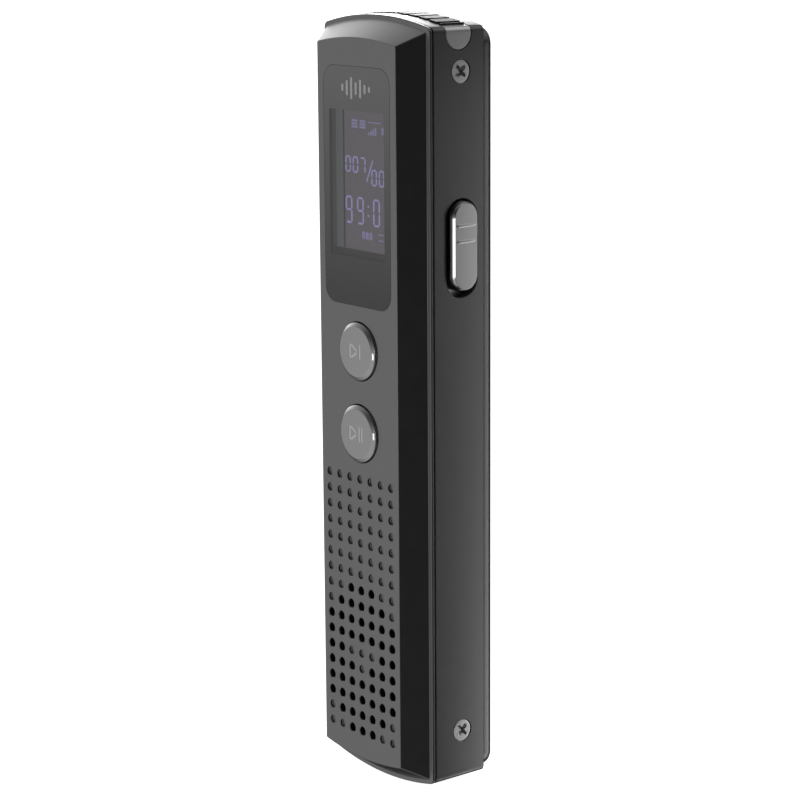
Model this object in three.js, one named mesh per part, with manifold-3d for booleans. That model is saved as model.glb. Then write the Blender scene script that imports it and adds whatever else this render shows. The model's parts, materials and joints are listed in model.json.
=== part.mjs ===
// Pen-type digital voice recorder: a slim metal body in three shells, with a display, two round keys
// and a punched sound grille on the front, a record slider on the right side and two volume keys on
// the left. All sizes are millimetres. X runs across the front, Z runs up the body, and Y runs back
// from the front face, so inside the assembly a piece's Y is its depth behind that face.

import * as THREE from 'three';
import { mergeVertices } from 'three/addons/utils/BufferGeometryUtils.js';
import Module from 'manifold-3d';

const wasm = await Module();
wasm.setup();

// Body
const bodyHalfWidth = 10;
const bodyHeight = 93.6;
const bodyDepth = 12.8;
const endArcRadius = 39.6;
const cornerRadius = 0.7;
const arcSteps = 3;
const turnSteps = 20;
const keyRise = 0.5;
const originDepth = (bodyDepth - keyRise) / 2;

// Front cover
const chamferInset = 2.55;
const chamferDepth = 3;
const ledgeWidth = 0.55;
const ledgeTurn = 0.02;
const frontSeam = 3.4;
const seamGap = 0.15;
const frontWall = 1.4;

// Housing and back cover
const wall = 1.3;
const backSeam = 11.15;
const backEndInset = 0.4;
const backCornerRadius = 2.2;

// Inner chassis: its wall, the bosses behind the side screws and the cuts that clear its neighbours
const chassisGap = 0.15;
const chassisWall = 0.8;
const chassisBossHalf = 1.5;
const chassisBossInnerX = 6.4;
const chassisRib = { bottom: 56.4, top: 57.3 };
const chassisMicCut = { halfDepth: 2.4, bottom: 89.1 };
const chassisSliderCut = { x: 6.8, front: 4.75, bottom: 58.8, top: 74.4 };
const chassisVolumeCut = { x: 6.8, front: 5.5, bottom: 57.6, top: 76 };
const chassisSocketCut = { halfWidth: 7.6, top: 3.6 };

// Sound grille: a square grid of punched holes, of which an oval patch goes right through
const holePitch = 2;
const grilleCentreZ = 22.05;
const grilleHalfColumns = 3;
const grilleHalfRows = 8;
const holeRadius = 0.56;
const dimpleRadius = 0.5;
const dimpleDepth = 0.35;
const openPatchRow = 3.5;
const openPatchHalfWidth = 3.74;
const openPatchHalfHeight = 5;

// Display
const windowWidth = 12.6;
const windowBottom = 59.3;
const windowTop = 87.65;
const windowRound = 2;
const windowThickness = 0.7;
const windowRecess = 0.85;
const viewHalfWidth = 5.2;
const viewBottom = 65.1;
const viewTop = 82.5;
const glassDepth = 1.45;
const glassThickness = 1.65;
const glassHalfWidth = 6.3;
const glassBottom = 62.7;
const glassTop = 84.7;
const backlightBack = 4.6;
const backlightInset = { side: 0.2, end: 0.5 };
const lcdFrameFront = 1.6;
const lcdFrameBack = 4.9;
const lcdFrameRim = 0.6;
const flexStart = 2.4;
const flexNotchFront = 2.2;
const flexHalfWidth = 4;
const flexThickness = 0.15;
const flexBend = 1.2;

// Front keys
const frontKeyRadius = 3.5;
const frontKeyChamfer = { inset: 0.48, depth: 0.28 };
const frontKeyGap = 0.1;
const frontKeyHeights = { menu: 53.82, play: 43.75 };
const keyFlange = { gap: 0.1, thickness: 0.55, reach: 0.65 };
const keyStemRadius = 1;
const keyStemEnd = 3;
const keyPlungerRadius = 0.9;
const keyPlungerEnd = 4.3;
const frontSwitch = { half: 2.25, front: 3.8, wellRadius: 1.2, wellEnd: 4.8 };

// Record slider on the right side
const slotDepth = 7.8;
const slotWidth = 4.7;
const slotLength = 11.8;
const slotCentreZ = 66.6;
const knobWidth = 3.9;
const knobLength = 10.75;
const knobRise = 0.8;
const knobChamferRise = 0.35;
const knobChamferInset = 0.2;
const knobRestOffset = 0.275;
const knobRibs = [0.65, 2.5];
const knobRib = { halfLength: 1.45, halfWidth: 0.2, rise: 0.1 };
const sideFlange = { gap: 0.15, thickness: 0.5 };
const knobFlange = { width: 5.6, length: 13.4, corner: 1 };
const leverStem = { from: 6.2, to: 8.9, halfWidth: 0.6, halfLength: 0.7 };
const leverFoot = { from: 5.4, to: 6.3, halfWidth: 0.7, halfLength: 1.5 };
const leverPocket = { from: 7, to: 9.2, halfWidth: 0.9, halfLength: 1 };
const recordSwitchSize = { from: 3.6, to: 6.6, back: 9.4, halfLength: 4.3 };
const switchTrack = { from: 5.1, halfWidth: 0.9, halfLength: 3.6 };

// Volume keys on the left side
const volumeKeyDepth = 7.8;
const volumeKeyWidth = 2.4;
const volumeKeyLength = 7;
const volumeKeyRise = 0.5;
const volumeKeyHeights = { up: 71.1, down: 62.1 };
const volumeKeyRound = 0.2;
const volumeKeyFlange = { width: 3.8, length: 8.3, corner: 0.8 };
const volumePlunger = { radius: 0.7, from: -7.98, to: -6.4 };
const volumeSwitchSize = { from: -7, to: -4.2, back: 9.3, halfLength: 2.2 };
const volumeSwitchWell = { radius: 1, to: -5.6 };

// Side screws
const screwDepth = 7.65;
const screwHeights = { top: 87.25, bottom: 7.17 };
const screwHeadRadius = 1.35;
const screwShankRadius = 0.7;
const screwHeadDepth = 0.65;
const screwLength = 3;
const screwSink = 0.05;
const screwPoint = 0.4;
const screwRecess = { halfLength: 0.8, halfWidth: 0.2, depth: 0.45 };

// Microphone strip over the top
const micStripWidth = 3.7;
const micStripDepth = 7.35;
const micStripGap = 0.35;
const micStripFootZ = 91.63;
const micSaddleThickness = 1.6;
const micGrilleHalfLength = 8.8;
const micRibPitch = 1.85;
const micRibGap = 0.6;
const micRibCount = 10;
const micRibDepth = 0.5;
const micSeatDepth = 1;
const micOffset = 2.5 * micRibPitch;
const micPortRadius = 0.5;
const micCapsule = { radius: 1.95, height: 1.6, top: 88.9 };
const micBootSize = { radius: 2.3, height: 2.3, skin: 0.25, floor: 0.4 };

// Circuit board and what stands on it
const boardFront = 5.2;
const boardBack = 6;
const boardHalfWidth = 7.5;
const boardBottom = 4.2;
const boardTop = 84.6;
const boardCorner = 0.8;
const lift = 0.05;
const chips = {
  processor_chip: { x: -2.4, z: 49, width: 7, height: 7, thickness: 0.8 },
  flash_chip: { x: 1.2, z: 36, width: 8, height: 6, thickness: 0.8 },
  amplifier_chip: { x: -3.6, z: 25, width: 3, height: 3, thickness: 0.8 },
  clock_crystal: { x: 4.6, z: 47, width: 1.5, height: 3.2, thickness: 0.7 },
};
const battery = { depth: 9, width: 13, thickness: 3.8, corner: 0.9, bottom: 17.6, top: 56.1 };
const batteryPad = { front: 10.95, back: 11.8, halfWidth: 5, inset: 5.25 };
const wireRadius = 0.3;

// Speaker
const speakerCentreZ = 15.05;
const speakerWidth = 13.2;
const speakerHeight = 19.2;
const speakerBasket = { front: 2.05, floor: 4.4, back: 5, skin: 1.2, portRadius: 2.2 };
const gasket = { front: 1.6, back: 2, skin: 2 };
const grilleMesh = { front: 1.45, back: 1.55, overlap: 0.4 };
const cone = { front: 2.45, back: 2.7, gap: 1.5 };
const coneDome = [[0, 2.1], [1.6, 2.18], [3, 2.45], [3, 2.6], [0, 2.6]];
const coil = { innerRadius: 3.45, skin: 0.3, front: 2.72, back: 4.1 };
const magnet = { radius: 3.2, front: 3.3, back: 4.35 };

// Sockets in the bottom end
const usbX = 2.6;
const usbWidth = 7.5;
const usbHeight = 2.65;
const usbBottom = 1.95;
const usbTop = 6.95;
const usbThickness = 0.3;
const usbCorner = 0.8;
const usbTongue = { halfWidth: 1.85, front: -0.5, back: 0.1, recess: 0.6, root: 0.35 };
const jackX = -3.9;
const jackDepth = 8.4;
const jackBoreRadius = 1.8;
const jackBoreTop = 12.4;
const jackCollarRadius = 2.15;
const jackCollarBottom = 0.35;
const jackBody = { halfWidth: 2.5, back: 10.6, bottom: 2, top: 13.4 };

// Play between a moving or fitted piece and the opening it stands in
const openingGap = { volumeKey: 0.15, usb: 0.4, jack: 0.2, screw: 0.2, window: 0.1 };

const quarter = Math.PI / 2;
const windowMiddle = (windowBottom + windowTop) / 2;
const windowHeight = windowTop - windowBottom;
const viewMiddle = (viewBottom + viewTop) / 2;
const usbCentreDepth = boardBack + lift + usbHeight / 2;

// ---------------------------------------------------------------------------------------------
// Shapes and solids

// A closed outline without repeated points, as plain 2-D points.
function cleanPoints(shape, steps) {
  const kept = [];
  for (const point of shape.getPoints(steps)) {
    if (kept.length === 0 || kept[kept.length - 1].distanceTo(point) > 1e-3) {
      kept.push(point);
    }
  }
  if (kept[0].distanceTo(kept[kept.length - 1]) < 1e-3) {
    kept.pop();
  }
  return kept;
}

// The body's outline seen from the front, moved inwards by `inset`: straight sides, arched ends
// and rounded corners. The ends can be moved in further than the sides.
function outline(inset, corner = cornerRadius, endInset = 0) {
  const halfWidth = bodyHalfWidth - inset;
  const arcRadius = endArcRadius - inset - endInset;
  const round = Math.max(corner - inset, 0.2);
  const topCentre = bodyHeight - endArcRadius;
  const cornerX = halfWidth - round;
  const cornerZ = topCentre + Math.sqrt((arcRadius - round) ** 2 - cornerX ** 2);
  const spread = Math.asin(cornerX / (arcRadius - round));
  const shape = new THREE.Shape();
  shape.moveTo(halfWidth, bodyHeight - cornerZ);
  shape.lineTo(halfWidth, cornerZ);
  shape.absarc(cornerX, cornerZ, round, 0, quarter - spread);
  shape.absarc(0, topCentre, arcRadius, quarter - spread, quarter + spread);
  shape.absarc(-cornerX, cornerZ, round, quarter + spread, 2 * quarter);
  shape.lineTo(-halfWidth, bodyHeight - cornerZ);
  shape.absarc(-cornerX, bodyHeight - cornerZ, round, 2 * quarter, 3 * quarter - spread);
  shape.absarc(0, endArcRadius, arcRadius, 3 * quarter - spread, 3 * quarter + spread);
  shape.absarc(cornerX, bodyHeight - cornerZ, round, 3 * quarter + spread, 4 * quarter);
  return shape;
}

function roundedRect(centreX, centreY, width, height, radius) {
  const x = width / 2 - radius;
  const y = height / 2 - radius;
  const shape = new THREE.Shape();
  shape.absarc(centreX + x, centreY + y, radius, 0, quarter);
  shape.absarc(centreX - x, centreY + y, radius, quarter, 2 * quarter);
  shape.absarc(centreX - x, centreY - y, radius, 2 * quarter, 3 * quarter);
  shape.absarc(centreX + x, centreY - y, radius, 3 * quarter, 4 * quarter);
  return shape;
}

function stadium(centreX, centreY, width, height) {
  return roundedRect(centreX, centreY, width, height, Math.min(width, height) / 2);
}

// A closed solid from any closed three.js geometry, for joining and cutting.
function solid(geometry) {
  const bare = geometry.clone();
  bare.deleteAttribute('normal');
  bare.deleteAttribute('uv');
  const merged = mergeVertices(bare, 1e-4);
  const mesh = new wasm.Mesh({
    numProp: 3,
    vertProperties: new Float32Array(merged.attributes.position.array),
    triVerts: new Uint32Array(merged.index.array),
  });
  return new wasm.Manifold(mesh);
}

// An outline pushed along one axis. It is drawn as (x, z) for a push along y, as (y, z) for a push
// along x, and as (x, y) for a push along z.
function prism(axis, shape, from, to, steps = arcSteps) {
  const flat = new THREE.Shape(cleanPoints(shape, steps));
  const geometry = new THREE.ExtrudeGeometry(flat, { depth: to - from, bevelEnabled: false });
  geometry.translate(0, 0, axis === 'y' ? -to : from);
  const x = new THREE.Vector3(1, 0, 0);
  const y = new THREE.Vector3(0, 1, 0);
  const z = new THREE.Vector3(0, 0, 1);
  const turn = new THREE.Matrix4();
  if (axis === 'x') {
    turn.makeBasis(y, z, x);
  }
  if (axis === 'y') {
    turn.makeBasis(x, z, y.clone().negate());
  }
  geometry.applyMatrix4(turn);
  return solid(geometry);
}

// A push along x whose far end is chamfered: the bevel starts at `shoulder` and narrows the outline
// by `inset` all round.
function chamfered(shape, from, shoulder, to, inset) {
  const flat = new THREE.Shape(cleanPoints(shape, arcSteps));
  const bevel = { bevelThickness: to - shoulder, bevelSize: inset, bevelOffset: -inset, bevelSegments: 1 };
  const geometry = new THREE.ExtrudeGeometry(flat, { depth: 2 * (shoulder - from), ...bevel });
  geometry.translate(0, 0, 2 * from - shoulder);
  const [x, y, z] = [new THREE.Vector3(1, 0, 0), new THREE.Vector3(0, 1, 0), new THREE.Vector3(0, 0, 1)];
  geometry.applyMatrix4(new THREE.Matrix4().makeBasis(y, z, x));
  const reach = 100;
  return solid(geometry).intersect(block(from, reach, -reach, reach, -reach, reach));
}

function block(fromX, toX, fromY, toY, fromZ, toZ) {
  const geometry = new THREE.BoxGeometry(toX - fromX, toY - fromY, toZ - fromZ);
  geometry.translate((fromX + toX) / 2, (fromY + toY) / 2, (fromZ + toZ) / 2);
  return solid(geometry);
}

// A solid turned about Y from [radius, y] pairs that start and end on the axis.
function turned(profile, steps = turnSteps) {
  const points = profile.map(([radius, y]) => new THREE.Vector2(radius, y));
  return solid(new THREE.LatheGeometry(points, steps));
}

function disc(radius, fromY, toY, steps = turnSteps) {
  return turned([[0, fromY], [radius, fromY], [radius, toY], [0, toY]], steps);
}

// A round bar about X or Z at the place given by its centre line.
function bar(axis, radius, from, to, centre, steps = 16) {
  const circle = new THREE.Shape();
  circle.absarc(centre[0], centre[1], radius, 0, 4 * quarter);
  return prism(axis, circle, from, to, steps / 2);
}

// A body skinned over outlines of the recorder at a row of depths. The section gives, for each
// depth, how far the outline is moved inwards.
function skinned(section, corner = cornerRadius, endInset = 0) {
  const stations = section.getPoints(3);
  const rings = stations.map((station) => cleanPoints(outline(station.y, corner, endInset), arcSteps));
  const count = rings[0].length;
  const positions = [];
  rings.forEach((ring, k) => {
    ring.forEach((point) => positions.push(point.x, stations[k].x, point.y));
  });
  const faces = [];
  for (let k = 0; k + 1 < rings.length; k += 1) {
    for (let i = 0; i < count; i += 1) {
      const a = k * count + i;
      const b = k * count + ((i + 1) % count);
      faces.push(a, a + count, b, b, a + count, b + count);
    }
  }
  const last = (rings.length - 1) * count;
  for (const [a, b, c] of THREE.ShapeUtils.triangulateShape(rings[0], [])) {
    faces.push(a, b, c);
  }
  for (const [a, b, c] of THREE.ShapeUtils.triangulateShape(rings[rings.length - 1], [])) {
    faces.push(last + a, last + c, last + b);
  }
  const geometry = new THREE.BufferGeometry();
  geometry.setAttribute('position', new THREE.Float32BufferAttribute(positions, 3));
  geometry.setIndex(faces);
  return solid(geometry);
}

// A straight-walled slice of the body between two depths.
function slice(inset, fromDepth, toDepth) {
  return skinned(new THREE.Path([new THREE.Vector2(fromDepth, inset), new THREE.Vector2(toDepth, inset)]));
}

// ---------------------------------------------------------------------------------------------
// Materials

function finish(color, roughness, metalness) {
  return { color, roughness, metalness };
}

const gunmetal = finish(0x5c5d5f, 0.38, 0.85);
const blackMetal = finish(0x2b2b2d, 0.42, 0.75);
const smokedGlass = finish(0x2c2c2e, 0.08, 0);
const brushed = finish(0x8b8b8c, 0.3, 1);
const steel = finish(0xa2a2a0, 0.3, 1);
const darkPlastic = finish(0x1c1c1e, 0.6, 0);
const greyPlastic = finish(0x66686b, 0.6, 0);
const displayGrey = finish(0x6d6a78, 0.2, 0);
const whitePlastic = finish(0xd8d8d4, 0.6, 0);
const amber = finish(0xa8641e, 0.5, 0);
const board = finish(0x1f5a34, 0.5, 0);
const chipBlack = finish(0x1a1a1a, 0.5, 0);
const foil = finish(0xb5b7ba, 0.4, 0.6);
const foam = finish(0x222222, 0.95, 0);
const rubber = finish(0x18181a, 0.85, 0);
const magnetGrey = finish(0x55585c, 0.35, 0.9);
const copper = finish(0xb06a3a, 0.35, 1);
const paper = finish(0x3a3a3c, 0.8, 0);
const redWire = finish(0xb02a22, 0.5, 0);
const blackWire = finish(0x141414, 0.5, 0);

const recorder = new THREE.Group();

// Adds one named piece to a group of the assembly.
function addPiece(group, name, body, look) {
  const { vertProperties, triVerts } = body.getMesh();
  const indexed = new THREE.BufferGeometry();
  indexed.setAttribute('position', new THREE.BufferAttribute(new Float32Array(vertProperties), 3));
  indexed.setIndex(new THREE.BufferAttribute(new Uint32Array(triVerts), 1));
  const geometry = indexed.toNonIndexed();
  geometry.computeVertexNormals();
  const mesh = new THREE.Mesh(geometry, new THREE.MeshStandardMaterial(look));
  mesh.name = name;
  group.add(mesh);
  return mesh;
}

function addGroup() {
  const group = new THREE.Group();
  recorder.add(group);
  return group;
}

// ---------------------------------------------------------------------------------------------
// Shells

const shells = addGroup();

// Every place of the grille's grid, as { x, z, open }.
function grillePlaces() {
  const places = [];
  for (let column = -grilleHalfColumns; column <= grilleHalfColumns; column += 1) {
    for (let row = -grilleHalfRows; row <= grilleHalfRows; row += 1) {
      const across = column / openPatchHalfWidth;
      const down = (row - openPatchRow) / openPatchHalfHeight;
      const blankWedge = row >= 3 && Math.abs(column) + row - 3 <= 1;
      const open = across ** 2 + down ** 2 <= 1 && !blankWedge;
      places.push({ x: column * holePitch, z: grilleCentreZ - row * holePitch, open });
    }
  }
  return places;
}

function frontCover() {
  const fillet = 0.12;
  const outside = new THREE.Path();
  outside.moveTo(0, chamferInset);
  outside.lineTo(chamferDepth, ledgeWidth);
  outside.lineTo(chamferDepth + ledgeTurn, fillet);
  outside.lineTo(chamferDepth + fillet, 0);
  outside.lineTo(frontSeam, 0);
  const inside = new THREE.Path();
  inside.moveTo(frontWall, chamferInset + 0.35);
  inside.lineTo(chamferDepth, wall);
  inside.lineTo(frontSeam + 1, wall);
  let cover = skinned(outside).subtract(skinned(inside));

  const slack = 2 * openingGap.window;
  const recess = roundedRect(0, windowMiddle, windowWidth + slack, windowHeight + slack, windowRound);
  cover = cover.subtract(prism('y', recess, -1, windowRecess));
  cover = cover.subtract(block(-viewHalfWidth, viewHalfWidth, 0, frontWall + 1, viewBottom, viewTop));

  for (const height of Object.values(frontKeyHeights)) {
    cover = cover.subtract(disc(frontKeyRadius + frontKeyGap, -1, frontWall + 1, 28).translate(0, 0, height));
  }
  for (const place of grillePlaces()) {
    const radius = place.open ? holeRadius : dimpleRadius;
    const end = place.open ? frontWall + 1 : dimpleDepth;
    cover = cover.subtract(disc(radius, -1, end, place.open ? 8 : 6).translate(place.x, 0, place.z));
  }
  return cover;
}

// The side screws' places: which side they are on, and how high.
const screwPlaces = [];
for (const [end, height] of Object.entries(screwHeights)) {
  for (const side of [1, -1]) {
    screwPlaces.push({ name: `side_screw_${side > 0 ? 'right' : 'left'}_${end}`, side, height });
  }
}

// A countersunk hole that opens towards +X at the body's right side.
function countersink() {
  const slack = openingGap.screw;
  const mouth = screwHeadRadius + slack;
  const neck = screwShankRadius + slack;
  const hole = turned([
    [0, -3], [neck, -3], [neck, -screwHeadDepth - slack], [mouth, -screwSink], [mouth, 1], [0, 1],
  ]);
  return hole.rotate([0, 0, -90]).translate(bodyHalfWidth, screwDepth, 0);
}

// The part of the body that the microphone strip takes: its sides are parallel, and it ends in a
// half round on each side wall.
function micStripBand(gap) {
  const half = micStripWidth / 2 + gap;
  const band = new THREE.Shape();
  band.moveTo(micStripDepth + half, bodyHeight + 1);
  band.lineTo(micStripDepth - half, bodyHeight + 1);
  band.lineTo(micStripDepth - half, micStripFootZ);
  band.absarc(micStripDepth, micStripFootZ, half, 2 * quarter, 4 * quarter);
  return prism('x', band, -bodyHalfWidth - 1, bodyHalfWidth + 1);
}

function housing() {
  const frontEdge = 0.12;
  const backEdge = 0.5;
  const outside = new THREE.Path();
  outside.moveTo(frontSeam + seamGap, frontEdge);
  outside.lineTo(frontSeam + seamGap + frontEdge, 0);
  outside.lineTo(backSeam - backEdge, 0);
  outside.quadraticCurveTo(backSeam, 0, backSeam, backEdge * 0.6);
  let sleeve = skinned(outside).subtract(slice(wall, frontSeam - 1, backSeam + 1));
  sleeve = sleeve.subtract(micStripBand(micStripGap));

  const slot = stadium(slotDepth, slotCentreZ, slotWidth, slotLength);
  sleeve = sleeve.subtract(prism('x', slot, bodyHalfWidth - 2 * wall, bodyHalfWidth + 1));
  for (const height of Object.values(volumeKeyHeights)) {
    const slack = 2 * openingGap.volumeKey;
    const opening = stadium(volumeKeyDepth, height, volumeKeyWidth + slack, volumeKeyLength + slack);
    sleeve = sleeve.subtract(prism('x', opening, -bodyHalfWidth - 1, -bodyHalfWidth + 2 * wall));
  }
  for (const { side, height } of screwPlaces) {
    const turn = side > 0 ? countersink() : countersink().mirror([1, 0, 0]);
    sleeve = sleeve.subtract(turn.translate(0, 0, height));
  }
  const usbSlack = 2 * openingGap.usb;
  const usbOpening = roundedRect(usbX, usbCentreDepth, usbWidth + usbSlack, usbHeight + usbSlack, 1);
  sleeve = sleeve.subtract(prism('z', usbOpening, -1, 3 * wall));
  return sleeve.subtract(bar('z', jackCollarRadius + openingGap.jack, -1, 3 * wall, [jackX, jackDepth]));
}

function backCover() {
  const edge = 0.2;
  const round = 1.2;
  const outside = new THREE.Path();
  outside.moveTo(backSeam + 0.1, edge);
  outside.lineTo(bodyDepth - round, edge);
  outside.quadraticCurveTo(bodyDepth, edge, bodyDepth, edge + round);
  const lip = slice(wall + chassisGap, backSeam - 0.4, backSeam + 0.2);
  const hollow = slice(wall + 1, backSeam - 1, bodyDepth - 1);
  return skinned(outside, backCornerRadius, backEndInset).add(lip).subtract(hollow);
}

// The moulded frame that stands inside the housing, carries the board and takes the side screws.
function innerChassis() {
  const outer = wall + chassisGap;
  const front = chamferDepth + 0.05;
  const back = backSeam - 0.55;
  const innerX = bodyHalfWidth - outer - chassisWall / 2;
  let frame = slice(outer, front, back).subtract(slice(outer + chassisWall, front - 1, back + 1));
  frame = frame.add(block(-innerX, innerX, boardBack + 1, back, chassisRib.bottom, chassisRib.top));
  for (const { side, height } of screwPlaces) {
    const boss = block(
      chassisBossInnerX, innerX, screwDepth - chassisBossHalf, screwDepth + chassisBossHalf,
      height - chassisBossHalf, height + chassisBossHalf,
    );
    const pilotEnd = bodyHalfWidth - screwLength - 0.2;
    const pilot = bar('x', screwShankRadius + 0.3, pilotEnd, bodyHalfWidth, [screwDepth, height]);
    const turn = (body) => (side > 0 ? body : body.mirror([1, 0, 0]));
    frame = frame.add(turn(boss)).subtract(turn(pilot));
  }
  const { halfDepth, bottom } = chassisMicCut;
  const micCut = block(
    -bodyHalfWidth, bodyHalfWidth, micStripDepth - halfDepth, micStripDepth + halfDepth, bottom, bodyHeight,
  );
  const slider = chassisSliderCut;
  const sliderCut = block(slider.x, bodyHalfWidth, slider.front, bodyDepth, slider.bottom, slider.top);
  const keys = chassisVolumeCut;
  const volumeCut = block(-bodyHalfWidth, -keys.x, keys.front, bodyDepth, keys.bottom, keys.top);
  const socket = chassisSocketCut;
  const socketCut = block(-socket.halfWidth, socket.halfWidth, boardBack + lift, bodyDepth, 0, socket.top);
  return frame.subtract(micCut).subtract(sliderCut).subtract(volumeCut).subtract(socketCut);
}

addPiece(shells, 'front_cover', frontCover(), gunmetal);
addPiece(shells, 'housing', housing(), blackMetal);
addPiece(shells, 'back_cover', backCover(), blackMetal);
addPiece(shells, 'inner_chassis', innerChassis(), darkPlastic);

// Countersunk cross-head screw, head up along +Y with its face at the group's origin.
function screw() {
  const rim = 0.1;
  const body = turned([
    [0, -screwLength], [screwShankRadius - screwPoint / 2, -screwLength],
    [screwShankRadius, -screwLength + screwPoint], [screwShankRadius, -screwHeadDepth - rim],
    [screwHeadRadius, -rim], [screwHeadRadius, 0], [0, 0],
  ], 16);
  const { halfLength, halfWidth, depth } = screwRecess;
  const wing = block(-halfLength, halfLength, -depth, 1, -halfWidth, halfWidth);
  return body.subtract(wing).subtract(wing.rotate([0, 90, 0]));
}

for (const { name, side, height } of screwPlaces) {
  const mesh = addPiece(shells, name, screw(), steel);
  mesh.rotation.z = -side * quarter;
  mesh.position.set(side * (bodyHalfWidth - screwSink), screwDepth, height);
}

// ---------------------------------------------------------------------------------------------
// Microphone strip

const microphones = addGroup();

// The bright saddle that runs over the top, with a seat cut into it for the ribbed grille.
function micSaddle() {
  const reach = [micStripDepth - micStripWidth, micStripDepth + micStripWidth];
  const ring = slice(0.04, ...reach).subtract(slice(micSaddleThickness, 0, bodyDepth));
  const seatBand = slice(-1, ...reach).subtract(slice(micSeatDepth, 0, bodyDepth));
  const seatEnd = micGrilleHalfLength + 0.05;
  const seat = seatBand.intersect(block(-seatEnd, seatEnd, 0, bodyDepth, bodyHeight / 2, bodyHeight + 2));
  let saddle = ring.intersect(micStripBand(0)).subtract(seat);
  for (const x of [-micOffset, micOffset]) {
    saddle = saddle.subtract(bar('z', micPortRadius, bodyHeight / 2, bodyHeight + 1, [x, micStripDepth]));
  }
  return saddle;
}

function micGrille() {
  const half = micStripWidth / 2 - 0.05;
  const end = micGrilleHalfLength;
  const top = [endArcRadius - micRibDepth, endArcRadius + 1];
  const strip = slice(-0.15, micStripDepth - half, micStripDepth + half)
    .subtract(slice(micSeatDepth - 0.05, 0, bodyDepth));
  let grille = strip.intersect(block(-end, end, 0, bodyDepth, bodyHeight / 2, bodyHeight + 2));
  for (let rib = 0; rib < micRibCount; rib += 1) {
    const lean = Math.asin((rib - (micRibCount - 1) / 2) * micRibPitch / endArcRadius);
    const groove = block(-micRibGap / 2, micRibGap / 2, 0, bodyDepth, ...top);
    const leaning = groove.rotate([0, THREE.MathUtils.radToDeg(lean), 0]);
    grille = grille.subtract(leaning.translate(0, 0, bodyHeight - endArcRadius));
  }
  for (const x of [-micOffset, micOffset]) {
    const port = bar('z', micPortRadius - 0.1, bodyHeight / 2, bodyHeight + 1, [x, micStripDepth]);
    grille = grille.subtract(port);
  }
  return grille;
}

addPiece(microphones, 'mic_saddle', micSaddle(), steel);
addPiece(microphones, 'mic_grille', micGrille(), darkPlastic);

// A microphone capsule in its rubber boot, each turned about Y and stood on end along Z.
function micBoot() {
  const { radius, height, skin, floor } = micBootSize;
  const hollow = disc(radius - skin, -1, height - floor);
  return disc(radius, 0, height).subtract(hollow).subtract(disc(micPortRadius, 0, height + 1, 12));
}

for (const [side, x] of [['left', -micOffset], ['right', micOffset]]) {
  const capsuleBody = disc(micCapsule.radius, 0, micCapsule.height);
  const capsule = addPiece(microphones, `mic_capsule_${side}`, capsuleBody, foil);
  const boot = addPiece(microphones, `mic_boot_${side}`, micBoot(), rubber);
  for (const piece of [capsule, boot]) {
    piece.rotation.x = quarter;
    piece.position.set(x, micStripDepth, micCapsule.top);
  }
  capsule.position.z += 0.2;
}

// ---------------------------------------------------------------------------------------------
// Display

const display = addGroup();

function displayWindow() {
  return prism('y', roundedRect(0, windowMiddle, windowWidth, windowHeight, windowRound), 0, windowThickness);
}

function windowTape() {
  const margin = 0.4;
  const outer = roundedRect(0, windowMiddle, windowWidth - margin, windowHeight - margin, windowRound);
  const openingHeight = viewTop - viewBottom + 0.2;
  const opening = roundedRect(0, viewMiddle, 2 * viewHalfWidth + 0.2, openingHeight, 0.3);
  const gap = 0.02;
  const tape = prism('y', outer, windowThickness + gap, windowRecess - gap);
  return tape.subtract(prism('y', opening, 0, windowRecess));
}

function lcdFrame() {
  const slack = 0.1;
  const side = glassHalfWidth + slack;
  const ends = [glassBottom - slack, glassTop + slack];
  const rim = lcdFrameRim;
  const outer = block(-side - rim, side + rim, lcdFrameFront, lcdFrameBack, ends[0] - rim, ends[1] + rim);
  const hollow = block(-side, side, 0, bodyDepth, ...ends);
  const notchHalf = flexHalfWidth + lcdFrameRim;
  const notch = block(-notchHalf, notchHalf, flexNotchFront, bodyDepth, ends[0] - 2, glassBottom + 1);
  return outer.subtract(hollow).subtract(notch);
}

// The ribbon that leaves the glass at its lower edge and turns back on to the board.
function lcdFlex() {
  const end = boardFront - 0.1;
  const top = glassBottom - 0.1;
  const lowest = glassBottom - 1.4;
  const bendCentre = [flexStart + flexBend, lowest + flexBend];
  const strip = new THREE.Shape();
  strip.moveTo(flexStart, top);
  strip.lineTo(flexStart, bendCentre[1]);
  strip.absarc(...bendCentre, flexBend, 2 * quarter, 3 * quarter);
  strip.lineTo(end, lowest);
  strip.lineTo(end, lowest + flexThickness);
  strip.lineTo(bendCentre[0], lowest + flexThickness);
  strip.absarc(...bendCentre, flexBend - flexThickness, 3 * quarter, 2 * quarter, true);
  strip.lineTo(flexStart + flexThickness, top);
  return prism('x', strip, -flexHalfWidth, flexHalfWidth);
}

function lcdGlass() {
  const back = glassDepth + glassThickness;
  return block(-glassHalfWidth, glassHalfWidth, glassDepth, back, glassBottom, glassTop);
}

function lcdBacklight() {
  const half = glassHalfWidth - backlightInset.side;
  const front = glassDepth + glassThickness + lift;
  const { end } = backlightInset;
  return block(-half, half, front, backlightBack, glassBottom + end, glassTop - end);
}

addPiece(display, 'display_window', displayWindow(), smokedGlass);
addPiece(display, 'window_tape', windowTape(), blackWire);
addPiece(display, 'lcd_frame', lcdFrame(), greyPlastic);
addPiece(display, 'lcd_glass', lcdGlass(), displayGrey);
addPiece(display, 'lcd_backlight', lcdBacklight(), whitePlastic);
addPiece(display, 'lcd_flex', lcdFlex(), amber);

// ---------------------------------------------------------------------------------------------
// Board and electronics

const electronics = addGroup();

function mainBoard() {
  const height = boardTop - boardBottom;
  const shape = roundedRect(0, boardBottom + height / 2, 2 * boardHalfWidth, height, boardCorner);
  return prism('y', shape, boardFront, boardBack);
}

// A flat component on the back of the board.
function chip({ x, z, width, height, thickness }) {
  const front = boardBack + lift;
  return block(x - width / 2, x + width / 2, front, front + thickness, z - height / 2, z + height / 2);
}

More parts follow.
